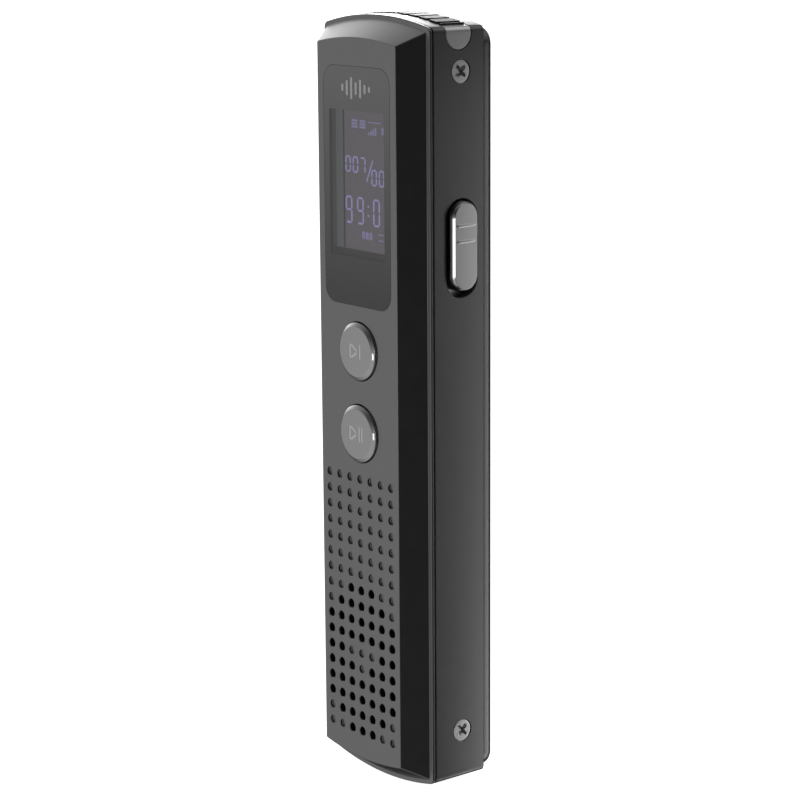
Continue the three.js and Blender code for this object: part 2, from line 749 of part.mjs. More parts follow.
// A wire along a smooth route.
function wire(points) {
  const section = new THREE.Shape();
  section.absarc(0, 0, wireRadius, 0, 4 * quarter);
  const route = new THREE.CatmullRomCurve3(points.map(([x, y, z]) => new THREE.Vector3(x, y, z)));
  const flat = new THREE.Shape(cleanPoints(section, 3));
  return solid(new THREE.ExtrudeGeometry(flat, { steps: 8, extrudePath: route }));
}

addPiece(electronics, 'main_board', mainBoard(), board);
for (const [name, size] of Object.entries(chips)) {
  addPiece(electronics, name, chip(size), name === 'clock_crystal' ? foil : chipBlack);
}

const cellShape = roundedRect(0, battery.depth, battery.width, battery.thickness, battery.corner);
addPiece(electronics, 'battery', prism('z', cellShape, battery.bottom, battery.top), foil);
addPiece(electronics, 'battery_pad', block(
  -batteryPad.halfWidth, batteryPad.halfWidth, batteryPad.front, batteryPad.back,
  battery.bottom + batteryPad.inset, battery.top - batteryPad.inset,
), foam);

// Each lead leaves the cell's lower end and turns forward on to the board.
for (const [name, x, look] of [['battery_wire_red', 1, redWire], ['battery_wire_black', -1, blackWire]]) {
  const end = battery.bottom - 0.1;
  const landing = boardBack + wireRadius + lift;
  addPiece(electronics, name, wire([
    [x, battery.depth, end], [x, battery.depth - 0.1, end - 1.6], [x, landing + 1.25, end - 2.7],
    [x, landing, end - 2.9], [x, landing + 0.05, end - 3.9],
  ]), look);
}

// Micro-USB socket: a rolled steel shell, open at the bottom end, round a plastic tongue.
function usbShell() {
  const bite = 2 * usbThickness;
  const corner = usbCorner - usbThickness;
  const outer = roundedRect(usbX, usbCentreDepth, usbWidth, usbHeight, usbCorner);
  const inner = roundedRect(usbX, usbCentreDepth, usbWidth - bite, usbHeight - bite, corner);
  return prism('z', outer, usbBottom, usbTop).subtract(prism('z', inner, 0, usbTop - usbThickness));
}

function tongue() {
  const { halfWidth, front, back, recess, root } = usbTongue;
  return block(
    usbX - halfWidth, usbX + halfWidth, usbCentreDepth + front, usbCentreDepth + back,
    usbBottom + recess, usbTop - root,
  );
}

// Headphone socket for a 3.5 mm plug, with a round collar that shows in the bottom end.
function headphoneJack() {
  const centre = [jackX, jackDepth];
  const { halfWidth, back, bottom, top } = jackBody;
  const body = block(jackX - halfWidth, jackX + halfWidth, boardBack + lift, back, bottom, top);
  const collar = bar('z', jackCollarRadius, jackCollarBottom, bottom + 1, centre, 24);
  return body.add(collar).subtract(bar('z', jackBoreRadius, 0, jackBoreTop, centre, 20));
}

addPiece(electronics, 'usb_shell', usbShell(), steel);
addPiece(electronics, 'usb_tongue', tongue(), blackWire);
addPiece(electronics, 'headphone_jack', headphoneJack(), blackWire);

// ---------------------------------------------------------------------------------------------
// Speaker, behind the open patch of the grille

const speaker = addGroup();
speaker.position.z = speakerCentreZ;

function speakerOval(shrink, fromDepth, toDepth) {
  return prism('y', stadium(0, 0, speakerWidth - shrink, speakerHeight - shrink), fromDepth, toDepth);
}

function speakerFrame() {
  const { front, floor, back, skin, portRadius } = speakerBasket;
  const basket = speakerOval(0, front, back).subtract(speakerOval(skin, 0, floor));
  return basket.subtract(disc(portRadius, 0, bodyDepth, 16));
}

function speakerCone() {
  return speakerOval(cone.gap, cone.front, cone.back).add(turned(coneDome));
}

function voiceCoil() {
  const former = disc(coil.innerRadius + coil.skin, coil.front, coil.back);
  return former.subtract(disc(coil.innerRadius, 0, bodyDepth));
}

function meshDisc() {
  return speakerOval(-grilleMesh.overlap, grilleMesh.front, grilleMesh.back);
}

function speakerGasket() {
  return speakerOval(0, gasket.front, gasket.back).subtract(speakerOval(gasket.skin, 0, bodyDepth));
}

addPiece(speaker, 'grille_mesh', meshDisc(), blackWire);
addPiece(speaker, 'speaker_gasket', speakerGasket(), foam);
addPiece(speaker, 'speaker_frame', speakerFrame(), darkPlastic);
addPiece(speaker, 'speaker_magnet', disc(magnet.radius, magnet.front, magnet.back), magnetGrey);
addPiece(speaker, 'speaker_cone', speakerCone(), paper);
addPiece(speaker, 'voice_coil', voiceCoil(), copper);

// Each speaker lead leaves the basket's upper end and lies down on the front of the board.
for (const [name, x, look] of [['speaker_wire_red', 1.2, redWire], ['speaker_wire_black', -1.2, blackWire]]) {
  const start = speakerHeight / 2 + wireRadius;
  const landing = boardFront - wireRadius - lift;
  addPiece(speaker, name, wire([
    [x, landing - 0.65, start], [x, landing - 0.75, start + 1.3], [x, landing - 0.25, start + 2.7],
    [x, landing, start + 4.1],
  ]), look);
}

// ---------------------------------------------------------------------------------------------
// Front keys, each with its own switch on the front of the board

const frontKeys = addGroup();

function frontKey() {
  const rim = frontKeyRadius - frontKeyChamfer.inset;
  const flangeFront = frontWall + keyFlange.gap;
  const flangeBack = flangeFront + keyFlange.thickness;
  const flangeRadius = frontKeyRadius + keyFlange.reach;
  return turned([
    [0, -keyRise], [rim, -keyRise], [frontKeyRadius, -keyRise + frontKeyChamfer.depth],
    [frontKeyRadius, flangeFront], [flangeRadius, flangeFront], [flangeRadius, flangeBack],
    [keyStemRadius, flangeBack], [keyStemRadius, keyStemEnd], [0, keyStemEnd],
  ], 28);
}

function tactSwitch() {
  const { half, front, wellRadius, wellEnd } = frontSwitch;
  const can = block(-half, half, front, boardFront - lift, -half, half);
  return can.subtract(disc(wellRadius, 0, wellEnd, 16));
}

for (const [name, height] of Object.entries(frontKeyHeights)) {
  const plunger = disc(keyPlungerRadius, keyStemEnd + lift, keyPlungerEnd, 16);
  const pieces = [
    addPiece(frontKeys, `${name}_key`, frontKey(), brushed),
    addPiece(frontKeys, `${name}_plunger`, plunger, whitePlastic),
    addPiece(frontKeys, `${name}_switch`, tactSwitch(), foil),
  ];
  for (const piece of pieces) {
    piece.position.z = height;
  }
}

// ---------------------------------------------------------------------------------------------
// Record slider: the knob, the lever it carries and the slide switch behind it

const record = addGroup();

// The flange that keeps a side key or the knob inside the housing wall.
function innerFlange({ width, length, corner }) {
  const outerX = bodyHalfWidth - wall - sideFlange.gap;
  return prism('x', roundedRect(0, 0, width, length, corner), outerX - sideFlange.thickness, outerX);
}

// A block along x, centred on the line that the slider or a key moves on.
function centredBlock({ from, to, halfWidth, halfLength }) {
  return block(from, to, -halfWidth, halfWidth, -halfLength, halfLength);
}

const flangeInnerX = bodyHalfWidth - wall - sideFlange.gap - sideFlange.thickness;

function recordSlider() {
  const top = bodyHalfWidth + knobRise;
  const shape = stadium(0, 0, knobWidth, knobLength);
  const cap = chamfered(shape, flangeInnerX, top - knobChamferRise, top, knobChamferInset);
  let knob = cap.add(innerFlange(knobFlange)).subtract(centredBlock(leverPocket));
  const { halfLength, halfWidth, rise } = knobRib;
  for (const height of knobRibs) {
    const ends = [height - halfWidth, height + halfWidth];
    knob = knob.add(block(top - rise, top + rise, -halfLength, halfLength, ...ends));
  }
  return knob;
}

function recordLever() {
  return centredBlock(leverFoot).add(centredBlock(leverStem));
}

function recordSwitch() {
  const { from, to, back, halfLength } = recordSwitchSize;
  const can = block(from, to, boardBack + lift - slotDepth, back - slotDepth, -halfLength, halfLength);
  return can.subtract(centredBlock({ ...switchTrack, to: to + 1 }));
}

const knobPieces = [
  addPiece(record, 'record_slider', recordSlider(), brushed),
  addPiece(record, 'record_lever', recordLever(), whitePlastic),
];
for (const piece of knobPieces) {
  piece.position.set(0, slotDepth, slotCentreZ + knobRestOffset);
}
addPiece(record, 'record_switch', recordSwitch(), foil).position.set(0, slotDepth, slotCentreZ);

// ---------------------------------------------------------------------------------------------
// Volume keys on the left side, each with its own switch on the back of the board

const volume = addGroup();

function volumeKey() {
  const top = bodyHalfWidth + volumeKeyRise;
  const shape = stadium(0, 0, volumeKeyWidth, volumeKeyLength);
  const cap = chamfered(shape, flangeInnerX, top - volumeKeyRound, top, volumeKeyRound);
  return cap.add(innerFlange(volumeKeyFlange)).mirror([1, 0, 0]);
}

function volumeSwitch() {
  const { from, to, back, halfLength } = volumeSwitchSize;
  const front = boardBack + lift;
  const can = block(from, to, front - volumeKeyDepth, back - volumeKeyDepth, -halfLength, halfLength);
  return can.subtract(bar('x', volumeSwitchWell.radius, from - 1, volumeSwitchWell.to, [0, 0]));
}

for (const [name, height] of Object.entries(volumeKeyHeights)) {
  const { radius, from, to } = volumePlunger;
  const pieces = [
    addPiece(volume, `volume_${name}_key`, volumeKey(), brushed),
    addPiece(volume, `volume_${name}_plunger`, bar('x', radius, from, to, [0, 0]), whitePlastic),
    addPiece(volume, `volume_${name}_switch`, volumeSwitch(), foil),
  ];
  for (const piece of pieces) {
    piece.position.set(0, volumeKeyDepth, height);
  }
}

// The frame's origin is under the middle of the body, so the assembly moves forward by half its depth.
recorder.position.y = -originDepth;

export default recorder;
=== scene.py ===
"""Looks of the handheld voice recorder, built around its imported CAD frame.

While a piece is built its points are (x, depth, z) in millimetres: x across the front, depth back from
the front face, and z up the body. add_piece() moves them into the frame, in metres.
"""

import json
import math

import bmesh
import bpy
from mathutils import Matrix, Vector


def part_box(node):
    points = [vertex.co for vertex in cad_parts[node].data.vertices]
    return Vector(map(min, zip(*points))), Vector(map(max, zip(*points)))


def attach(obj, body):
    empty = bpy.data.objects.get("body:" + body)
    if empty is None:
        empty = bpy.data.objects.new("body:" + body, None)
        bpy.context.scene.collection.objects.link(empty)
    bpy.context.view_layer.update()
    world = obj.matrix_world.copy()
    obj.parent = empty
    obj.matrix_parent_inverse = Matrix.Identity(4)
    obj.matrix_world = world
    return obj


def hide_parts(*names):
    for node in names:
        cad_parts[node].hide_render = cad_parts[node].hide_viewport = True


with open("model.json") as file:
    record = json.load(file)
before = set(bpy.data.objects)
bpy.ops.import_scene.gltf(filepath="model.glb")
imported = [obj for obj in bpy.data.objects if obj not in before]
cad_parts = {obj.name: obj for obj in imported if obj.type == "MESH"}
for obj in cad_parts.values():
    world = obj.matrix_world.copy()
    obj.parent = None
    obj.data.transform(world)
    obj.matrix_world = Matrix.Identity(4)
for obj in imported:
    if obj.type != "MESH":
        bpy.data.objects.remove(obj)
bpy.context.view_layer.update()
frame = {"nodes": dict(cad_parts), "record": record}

MM = 0.001
FRONT_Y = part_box("front_cover")[0].y / MM


def box_mm(node):
    """(lowest corner, highest corner) of a CAD node as (x, depth, z) in millimetres."""
    shift = Vector((0, FRONT_Y, 0))
    low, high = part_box(node)
    return low / MM - shift, high / MM - shift


def middle(node):
    low, high = box_mm(node)
    return (low + high) / 2


# --- Sizes in millimetres: the frame gives the main ones, and the rest are details near the CAD's

BODY_HIGH = box_mm("front_cover")[1]
HALF_WIDTH = BODY_HIGH.x
BODY_HEIGHT = BODY_HIGH.z
FRONT_SEAM = BODY_HIGH.y
HOUSING_FRONT = box_mm("housing")[0].y
BACK_SEAM = box_mm("housing")[1].y
BODY_DEPTH = box_mm("back_cover")[1].y

END_ARC = 39.6
CORNER = 0.7
FACE_INSET = 2.55
CHAMFER_DEPTH = 3.0
LEDGE_WIDTH = 0.58
LEDGE_TURN = 0.02
FRONT_WALL = 1.4
INNER_CHAMFER_INSET = 0.35
WALL = 1.3
BACK_SEAM_GAP = 0.04
BACK_CORNER = 2.2
BACK_END_INSET = 0.4
BACK_PLATE = 1.0
BACK_LIP_GAP = 0.15
BACK_LIP_WALL = 1.0

# How far a cutter runs past what it cuts, and how far it flares out in front of a face
PAST = 1.0
FRONT_SPILL = 0.3
SIDE_SPILL = 0.5

HOLE_PITCH = 2.0
GRILLE_CENTRE_Z = 22.05
GRILLE_HALF_COLUMNS = 3
GRILLE_HALF_ROWS = 8
HOLE_RADIUS = 0.56
DIMPLE_RADIUS = 0.52
DIMPLE_DEPTH = 0.3
OPEN_PATCH_ROW = 3.5
OPEN_PATCH_HALF_WIDTH = 3.74
OPEN_PATCH_HALF_HEIGHT = 5

VIEW_HALF_WIDTH = 5.2
VIEW_BOTTOM = 65.1
VIEW_TOP = 82.5
VIEW_ROUND = 0.25
COVER_VIEW_MARGIN = 0.6
WINDOW_ROUND = 2.0
WINDOW_RECESS = 0.85
WINDOW_SLACK = 0.03
WINDOW_FLARE = 0.05
WINDOW_SPILL = 0.45
FILM = 0.03

LCD_LEFT = -4.15
LCD_RIGHT = 5.0
LCD_BOTTOM = 65.8
LCD_TOP = 82.3

KEY_RADIUS = 3.5
KEY_GAP = 0.1
KEY_BEVEL_INSET = 0.48
KEY_BEVEL_DEPTH = 0.28
KEY_FLANGE_FRONT = FRONT_WALL + 0.1
KEY_FLANGE_BACK = FRONT_WALL + 0.65
KEY_STEM_RADIUS = 1.0
STROKE_WIDTH = 0.4
STROKE_FLOOR_WIDTH = 0.28
STROKE_DEPTH = 0.07
STROKE_FILL_WIDTH = 0.34
STROKE_FILL = (0.015, 0.04)

SLOT_WIDTH = 4.7
SLOT_LENGTH = 11.8
SLOT_CENTRE_Z = 66.6
KNOB_WIDTH = 3.9
KNOB_LENGTH = 10.75
KNOB_BEVEL_INSET = 0.22
KNOB_BEVEL_RISE = 0.33
KNOB_SHOULDER = (0.3, 0.08)
KNOB_RIBS = (0.65, 2.5)
KNOB_RIB_RISE = 0.1
KNOB_RIB_HALF_LENGTH = 1.5
KNOB_RIB_HALF_WIDTH = 0.22
KNOB_FLANGE = (5.6, 13.4, 1.0)
KNOB_POCKET = {"half_width": 0.9, "half_length": 1.0, "end": 1.15}
SIDE_FLANGE_THICKNESS = 0.5
VOLUME_KEY = (2.4, 7.0)
VOLUME_KEY_ROUND = 0.2
VOLUME_KEY_FLANGE = (3.8, 8.3, 0.8)
VOLUME_OPENING = (2.7, 7.3)

SCREW_HEAD_RADIUS = 1.35
SCREW_HEAD_DEPTH = 0.65
SCREW_HEAD_RIM = 0.12
SCREW_SHANK_RADIUS = 0.7
SCREW_LENGTH = 3.0
SCREW_POINT = 0.4
SCREW_SINK = 0.05

MIC_GAP = 0.1
MIC_SADDLE_INSET = 0.04
MIC_SADDLE_THICKNESS = 1.6
MIC_SEAT_DEPTH = 1.0
MIC_SEAT_GAP = 0.05
MIC_GRILLE_RISE = 0.15
MIC_GRILLE_DEPTH = 0.95
MIC_RIB_PITCH = 1.85
MIC_RIB_COUNT = 10
MIC_GROOVE = {"width": 0.6, "height": 1.5, "round": 0.28, "rise": 0.25}

USB_ROUND = 0.8
USB_GAP = 0.3
USB_SKIN = 0.3
JACK_DEPTH = 8.4
JACK_MOUTH_RADIUS = 2.35
JACK_COLLAR_RADIUS = 2.15
JACK_BORE_RADIUS = 1.8
JACK_BORE_TOP = 12.4

CORNER_STEPS = 8
ARC_STEPS = 44
ROUND_STEPS = 48
KEY_STEPS = 128
KEY_HOLE_STEPS = 96
GRILLE_HOLE_STEPS = 28
FOOT_STEPS = 40


# --- Outlines: lists of 2-D points, anticlockwise

def arc(centre, radius, start, end, steps):
    """Points on an arc, with angles in radians."""
    angles = [start + (end - start) * k / steps for k in range(steps + 1)]
    return [(centre[0] + radius * math.cos(a), centre[1] + radius * math.sin(a)) for a in angles]


def body_outline(inset, corner=CORNER, end_inset=0.0):
    """The body's outline from the front, moved inwards by inset, as (x, z) points."""
    radius = END_ARC - inset - end_inset
    rounding = max(corner - inset, 0.2)
    x = HALF_WIDTH - inset - rounding
    top = BODY_HEIGHT - END_ARC
    z = top + math.sqrt((radius - rounding) ** 2 - x ** 2)
    spread = math.asin(x / (radius - rounding))
    right = math.pi / 2
    upper = arc((x, z), rounding, 0, right - spread, CORNER_STEPS)
    upper += arc((0, top), radius, right - spread, right + spread, ARC_STEPS)[1:-1]
    upper += arc((-x, z), rounding, right + spread, math.pi, CORNER_STEPS)
    return upper + [(-px, BODY_HEIGHT - pz) for px, pz in upper]


def circle(radius, steps):
    return arc((0, 0), radius, 0, 2 * math.pi, steps)[:-1]


def rounded_rect(width, height, radius, centre=(0, 0), steps=CORNER_STEPS):
    x, y = width / 2 - radius, height / 2 - radius
    quarter = math.pi / 2
    points = []
    for k, (side_x, side_y) in enumerate(((1, 1), (-1, 1), (-1, -1), (1, -1))):
        corner = (centre[0] + side_x * x, centre[1] + side_y * y)
        points += arc(corner, radius, k * quarter, (k + 1) * quarter, steps)
    return points


def stadium(width, height, centre=(0, 0)):
    return rounded_rect(width, height, min(width, height) / 2 - 1e-4, centre, 3 * CORNER_STEPS)


def rounded_path(points, radii, steps=4):
    """A path of straight legs whose inner corners are rounded by the radii, one for each corner."""
    path = [Vector(points[0])]
    for before, corner, after, radius in zip(points, points[1:], points[2:], radii):
        corner = Vector(corner)
        start = corner + (Vector(before) - corner).normalized() * radius
        end = corner + (Vector(after) - corner).normalized() * radius
        for k in range(steps + 1):
            t = k / steps
            path.append(start * (1 - t) ** 2 + corner * 2 * t * (1 - t) + end * t ** 2)
    path.append(Vector(points[-1]))
    kept = [path[0]]
    for point in path[1:]:
        if (point - kept[-1]).length > 1e-4:
            kept.append(point)
    return [tuple(point) for point in kept]


# --- Solids: meshes in millimetres

def ring(axis, points, offset):
    """A 2-D outline as 3-D points: (x, z) at a depth, (depth, z) at an x, or (x, depth) at a z."""
    if axis == "depth":
        return [(a, offset, b) for a, b in points]
    if axis == "x":
        return [(offset, a, b) for a, b in points]
    return [(a, b, offset) for a, b in points]


def loft(mesh, rings):
    """Adds a closed body skinned over rings that all have the same number of points."""
    layers = [[mesh.verts.new(point) for point in points] for points in rings]
    count = len(layers[0])
    faces = [mesh.faces.new(layers[0]), mesh.faces.new(layers[-1])]
    for lower, upper in zip(layers, layers[1:]):
        for k in range(count):
            after = (k + 1) % count
            faces.append(mesh.faces.new((lower[k], lower[after], upper[after], upper[k])))
    bmesh.ops.recalc_face_normals(mesh, faces=faces)
    return mesh


def solid(*rings):
    return loft(bmesh.new(), rings)


def push(mesh, axis, points, start, end):
    """Adds an outline's straight push to a mesh that already holds other bodies."""
    loft(mesh, [ring(axis, points, start), ring(axis, points, end)])


def prism(axis, points, start, end):
    return solid(ring(axis, points, start), ring(axis, points, end))


def skinned(section, corner=CORNER, end_inset=0.0):
    """The body's outline over a row of (depth, inset) stations."""
    return solid(*(ring("depth", body_outline(inset, corner, end_inset), d) for d, inset in section))


def body_slice(inset, start, end):
    return skinned([(start, inset), (end, inset)])


def turned(profile, centre=(0, 0, 0), axis="depth", steps=ROUND_STEPS):
    """A body turned about an axis through centre, from (radius, position along the axis) pairs."""
    rings = [ring(axis, circle(max(radius, 1e-3), steps), along) for radius, along in profile]
    mesh = solid(*rings)
    bmesh.ops.translate(mesh, verts=mesh.verts, vec=centre)
    return mesh


def block(low, high, rounding=0.0, axis="depth"):
    """A box between two corners, with its edges along one axis rounded."""
    order = {"depth": (0, 2, 1), "x": (1, 2, 0), "z": (0, 1, 2)}[axis]
    (a0, b0, c0), (a1, b1, c1) = [[corner[k] for k in order] for corner in (low, high)]
    centre = ((a0 + a1) / 2, (b0 + b1) / 2)
    outline = rounded_rect(a1 - a0, b1 - b0, max(rounding, 1e-3), centre, CORNER_STEPS if rounding else 1)
    return prism(axis, outline, c0, c1)


def eased(axis, outline, start, end, ease, both=False):
    """A prism whose far edge, or both edges, are eased. outline(grow) gives the outline grown by grow."""
    sign = 1 if end > start else -1
    rings = [(start, 0.0)]
    if both:
        rings = [(start, -ease), (start + sign * ease * 0.3, -ease * 0.3), (start + sign * ease, 0.0)]
    rings += [(end - sign * ease, 0.0), (end - sign * ease * 0.3, -ease * 0.3), (end, -ease)]
    return solid(*(ring(axis, outline(grow), along) for along, grow in rings))


def new_object(name, data):
    item = bpy.data.objects.new(name, data)
    bpy.context.scene.collection.objects.link(item)
    return item


def joined(*meshes):
    """Several separate bodies in one mesh."""
    whole = bmesh.new()
    for mesh in meshes:
        part = bpy.data.meshes.new("part")
        mesh.to_mesh(part)
        whole.from_mesh(part)
        bpy.data.meshes.remove(part)
    return whole


def combine(operation, base, *others):
    """The base joined with, cut by or kept inside the other bodies, one after another."""
    for other in others:
        pair = []
        for mesh in (base, other):
            data = bpy.data.meshes.new("solid")
            mesh.to_mesh(data)
            pair.append(new_object("solid", data))
        change = pair[0].modifiers.new("combine", "BOOLEAN")
        change.operation = operation
        change.solver = "EXACT"
        change.object = pair[1]
        bpy.context.view_layer.update()
        result = pair[0].evaluated_get(bpy.context.evaluated_depsgraph_get()).to_mesh()
        base = bmesh.new()
        base.from_mesh(result)
        for holder in pair:
            data = holder.data
            bpy.data.objects.remove(holder)
            bpy.data.meshes.remove(data)
    return base


def cut(base, *others):
    return combine("DIFFERENCE", base, *others)


def mirrored(mesh):
    """The mesh's copy on the other side of the body."""
    copy = mesh.copy()
    bmesh.ops.scale(copy, verts=copy.verts, vec=(-1, 1, 1))
    bmesh.ops.reverse_faces(copy, faces=copy.faces)
    return copy


def moved(mesh, shift):
    copy = mesh.copy()
    bmesh.ops.translate(copy, verts=copy.verts, vec=shift)
    return copy


FRONT_KEYS = ("menu_key", "play_key")
VOLUME_KEYS = ("volume_up_key", "volume_down_key")
SCREWS = [f"side_screw_{side}_{end}" for side in ("right", "left") for end in ("top", "bottom")]

WALL_TEST_MARGIN = 0.03
WELD = 1e-5
SHARP_ANGLE = 32

materials = {}
body_of_node = {
    node: body for body, nodes in frame["record"]["behaviour"]["bodies"].items() for node in nodes
}
slot_of_node = {row["node"]: row["material_slot"] for row in frame["record"]["subparts"]}


def add_piece(name, mesh, node=None, slot=None, body=None, look=None, origin=(0, 0, 0), accent=None):
    """Turns a mesh into a shown piece. It stands for a CAD node, or rides with the body given.

    accent, where given, is a second look and the test that picks its faces by their normal and middle.
    """
    bmesh.ops.remove_doubles(mesh, verts=mesh.verts, dist=WELD)
    bmesh.ops.dissolve_degenerate(mesh, edges=mesh.edges, dist=WELD)
    if accent:
        mesh.normal_update()
        for face in mesh.faces:
            face.material_index = int(accent[1](face.normal, face.calc_center_median()))
    place = Matrix.Translation((0, FRONT_Y * MM, 0)) @ Matrix.Scale(MM, 4)
    centre = place @ Vector(origin)
    mesh.transform(Matrix.Translation(-centre) @ place)
    data = bpy.data.meshes.new(name)
    mesh.to_mesh(data)
    data.shade_smooth()
    data.set_sharp_from_angle(angle=math.radians(SHARP_ANGLE))
    piece = new_object(name, data)
    piece.location = centre
    shading = piece.modifiers.new("flat_faces_stay_flat", "WEIGHTED_NORMAL")
    shading.keep_sharp = True
    slot = slot or slot_of_node[node]
    data.materials.append(look or materials[slot])
    if accent:
        data.materials.append(accent[0])
    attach(piece, body or body_of_node[node])
    if node:
        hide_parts(node)


def add_layer(name, mesh, slot, look=None):
    """A film or mark of the body that has no CAD node."""
    add_piece(name, mesh, slot=slot, body="recorder_body", look=look)


# --- Materials

class Nodes:
    """A node tree, with short ways to add the nodes used here."""

    def __init__(self, tree):
        self.nodes, self.links = tree.nodes, tree.links
        self.nodes.clear()

    def add(self, kind, inputs, **settings):
        """A new node. Its inputs, by name or number, are values or the sockets to link."""
        node = self.nodes.new(f"ShaderNode{kind}")
        for name, value in settings.items():
            setattr(node, name, value)
        for name, value in inputs.items():
            if isinstance(value, bpy.types.NodeSocket):
                self.links.new(value, node.inputs[name])
            else:
                node.inputs[name].default_value = value
        return node

    def math(self, operation, a, b):
        return self.add("Math", {0: a, 1: b}, operation=operation).outputs["Value"]


class Graph(Nodes):
    """A material's nodes, around one principled shader."""

    def __init__(self, name):
        self.material = bpy.data.materials.new(name)
        self.material.use_nodes = True
        super().__init__(self.material.node_tree)
        self.shader = self.add("BsdfPrincipled", {})
        self.add("OutputMaterial", {"Surface": self.shader.outputs["BSDF"]})
        self.place = self.add("TexCoord", {}).outputs["Object"]

    def set(self, **values):
        for name, value in values.items():
            self.shader.inputs[name.replace("_", " ")].default_value = value

    def texture(self, kind, per_mm, inputs, **settings):
        """A texture of so many cells per millimetre along the object's x, y and z."""
        scale = [value / MM for value in per_mm]
        place = self.add("Mapping", {"Vector": self.place, "Scale": scale}).outputs["Vector"]
        return self.add(kind, {"Vector": place, "Scale": 1.0, **inputs}, **settings)

    def noise(self, per_mm, detail=3.0):
        return self.texture("TexNoise", per_mm, {"Detail": detail, "Roughness": 0.55}).outputs["Fac"]

    def cells(self, per_mm, feature="F1"):
        return self.texture("TexVoronoi", per_mm, {}, feature=feature).outputs["Distance"]

    def waves(self, per_mm, direction):
        return self.texture("TexWave", per_mm, {}, bands_direction=direction).outputs["Fac"]

    def spread(self, value, low, high, start=0.3, end=0.7):
        """The value between start and end, stretched over low to high."""
        limits = {"From Min": start, "From Max": end, "To Min": low, "To Max": high}
        return self.add("MapRange", {"Value": value, **limits}).outputs["Result"]

    def blend(self, factor, first, second):
        """A mix of two colours, each three numbers or a socket."""
        node = self.add("Mix", {"Factor": factor}, data_type="RGBA")
        ends = [socket for socket in node.inputs if socket.type == "RGBA"]
        for socket, colour in zip(ends, (first, second)):
            if isinstance(colour, tuple):
                socket.default_value = (*colour, 1.0)
            else:
                self.links.new(colour, socket)
        return [socket for socket in node.outputs if socket.type == "RGBA"][0]

    def colour(self, factor, first, second):
        self.links.new(self.blend(factor, first, second), self.shader.inputs["Base Color"])

    def roughness(self, value):
        self.links.new(value, self.shader.inputs["Roughness"])

    def bump(self, height, depth_mm):
        node = self.add("Bump", {"Height": height, "Strength": 1.0, "Distance": depth_mm * MM})
        self.links.new(node.outputs["Normal"], self.shader.inputs["Normal"])


BROAD_GRAIN = 0.06


def shade(colour, factor):
    return tuple(min(channel * factor, 1.0) for channel in colour)


def grey(tone):
    return (tone, tone, tone)


def grained(name, colour, grain, roughness, variation=0.12, bump=0.0, rough_spread=0.06, **values):
    """A surface whose colour, roughness and height vary with a grain of so many cells per millimetre."""
    graph = Graph(name)
    fine = graph.noise(grain)
    broad = graph.noise([value * BROAD_GRAIN for value in grain], 2.0)
    both = graph.math("ADD", graph.math("MULTIPLY", fine, 0.6), graph.math("MULTIPLY", broad, 0.4))
    graph.colour(graph.spread(both, 0, 1), shade(colour, 1 - variation), shade(colour, 1 + variation))
    graph.roughness(graph.spread(both, roughness - rough_spread, roughness + rough_spread))
    if bump:
        graph.bump(fine, bump)
    graph.set(**values)
    return graph.material


def grained_slot(slot, *numbers, **values):
    """The grained look of one of the record's material slots."""
    materials[slot] = grained(slot, *numbers, **values)


grained_slot("gunmetal_anodised", grey(0.335), (9, 9, 9), 0.31, 0.035, 0.0012, 0.03, Metallic=1.0)
grained_slot("black_metal", grey(0.12), (11, 11, 11), 0.36, 0.04, 0.0008, 0.03, Metallic=1.0)
grained_slot("brushed_metal", grey(0.60), (14, 14, 0.7), 0.27, 0.03, 0.0002, 0.02, Metallic=1.0)
grained_slot("satin_aluminium", (0.52, 0.52, 0.525), (12, 12, 12), 0.33, 0.04, 0.0006, 0.04, Metallic=1.0)
grained_slot("steel", (0.52, 0.52, 0.517), (16, 3, 16), 0.34, 0.05, 0.0006, 0.05, Metallic=1.0)
grained_slot("dark_plastic", (0.018, 0.018, 0.019), (7, 7, 7), 0.5, 0.12, 0.002, 0.06)
grained_slot("grey_plastic", (0.13, 0.14, 0.14), (6, 6, 6), 0.5, 0.08, 0.0015)
grained_slot("white_plastic", (0.7, 0.7, 0.68), (5, 5, 5), 0.45, 0.05, 0.001, Subsurface_Weight=0.1)
grained_slot("tape", grey(0.010), (8, 8, 8), 0.55, 0.1, 0.0008)
grained_slot("flex_film", (0.42, 0.16, 0.03), (3, 3, 3), 0.28, 0.12, 0.001, Coat_Weight=0.4)
grained_slot("chip_epoxy", grey(0.013), (14, 14, 14), 0.62, 0.25, 0.002)
grained_slot("foil", (0.5, 0.5, 0.51), (2.2, 2.2, 2.2), 0.36, 0.08, 0.006, 0.08, Metallic=0.9)
grained_slot("rubber", (0.012, 0.012, 0.013), (9, 9, 9), 0.72, 0.2, 0.002, Sheen_Weight=0.1)
grained_slot("magnet", (0.22, 0.225, 0.23), (10, 10, 10), 0.3, 0.08, 0.001, Metallic=0.95)
grained_slot("cone_paper", (0.04, 0.04, 0.042), (6, 6, 6), 0.7, 0.2, 0.004)
grained_slot("red_wire", (0.4, 0.02, 0.015), (4, 4, 4), 0.4, 0.1, 0.001, Coat_Weight=0.2)
grained_slot("black_wire", grey(0.008), (4, 4, 4), 0.4, 0.2, 0.001, Coat_Weight=0.2)


def smoked_window():
    """Clear hard-coated acrylic, faintly smoked, with a trace of dust and a faint painted glow."""
    graph = Graph("smoked_window")
    dust = graph.noise((5, 5, 5), 4.0)
    graph.colour(graph.spread(dust, 0, 1), (0.030, 0.030, 0.032), (0.036, 0.036, 0.038))
    graph.roughness(graph.spread(dust, 0.08, 0.14))
    # The grey emission is a painted glow: the pane is no lamp.
    graph.set(Alpha=0.35, IOR=1.49, Emission_Color=(0.085, 0.085, 0.085, 1), Emission_Strength=1.0)
    return graph.material


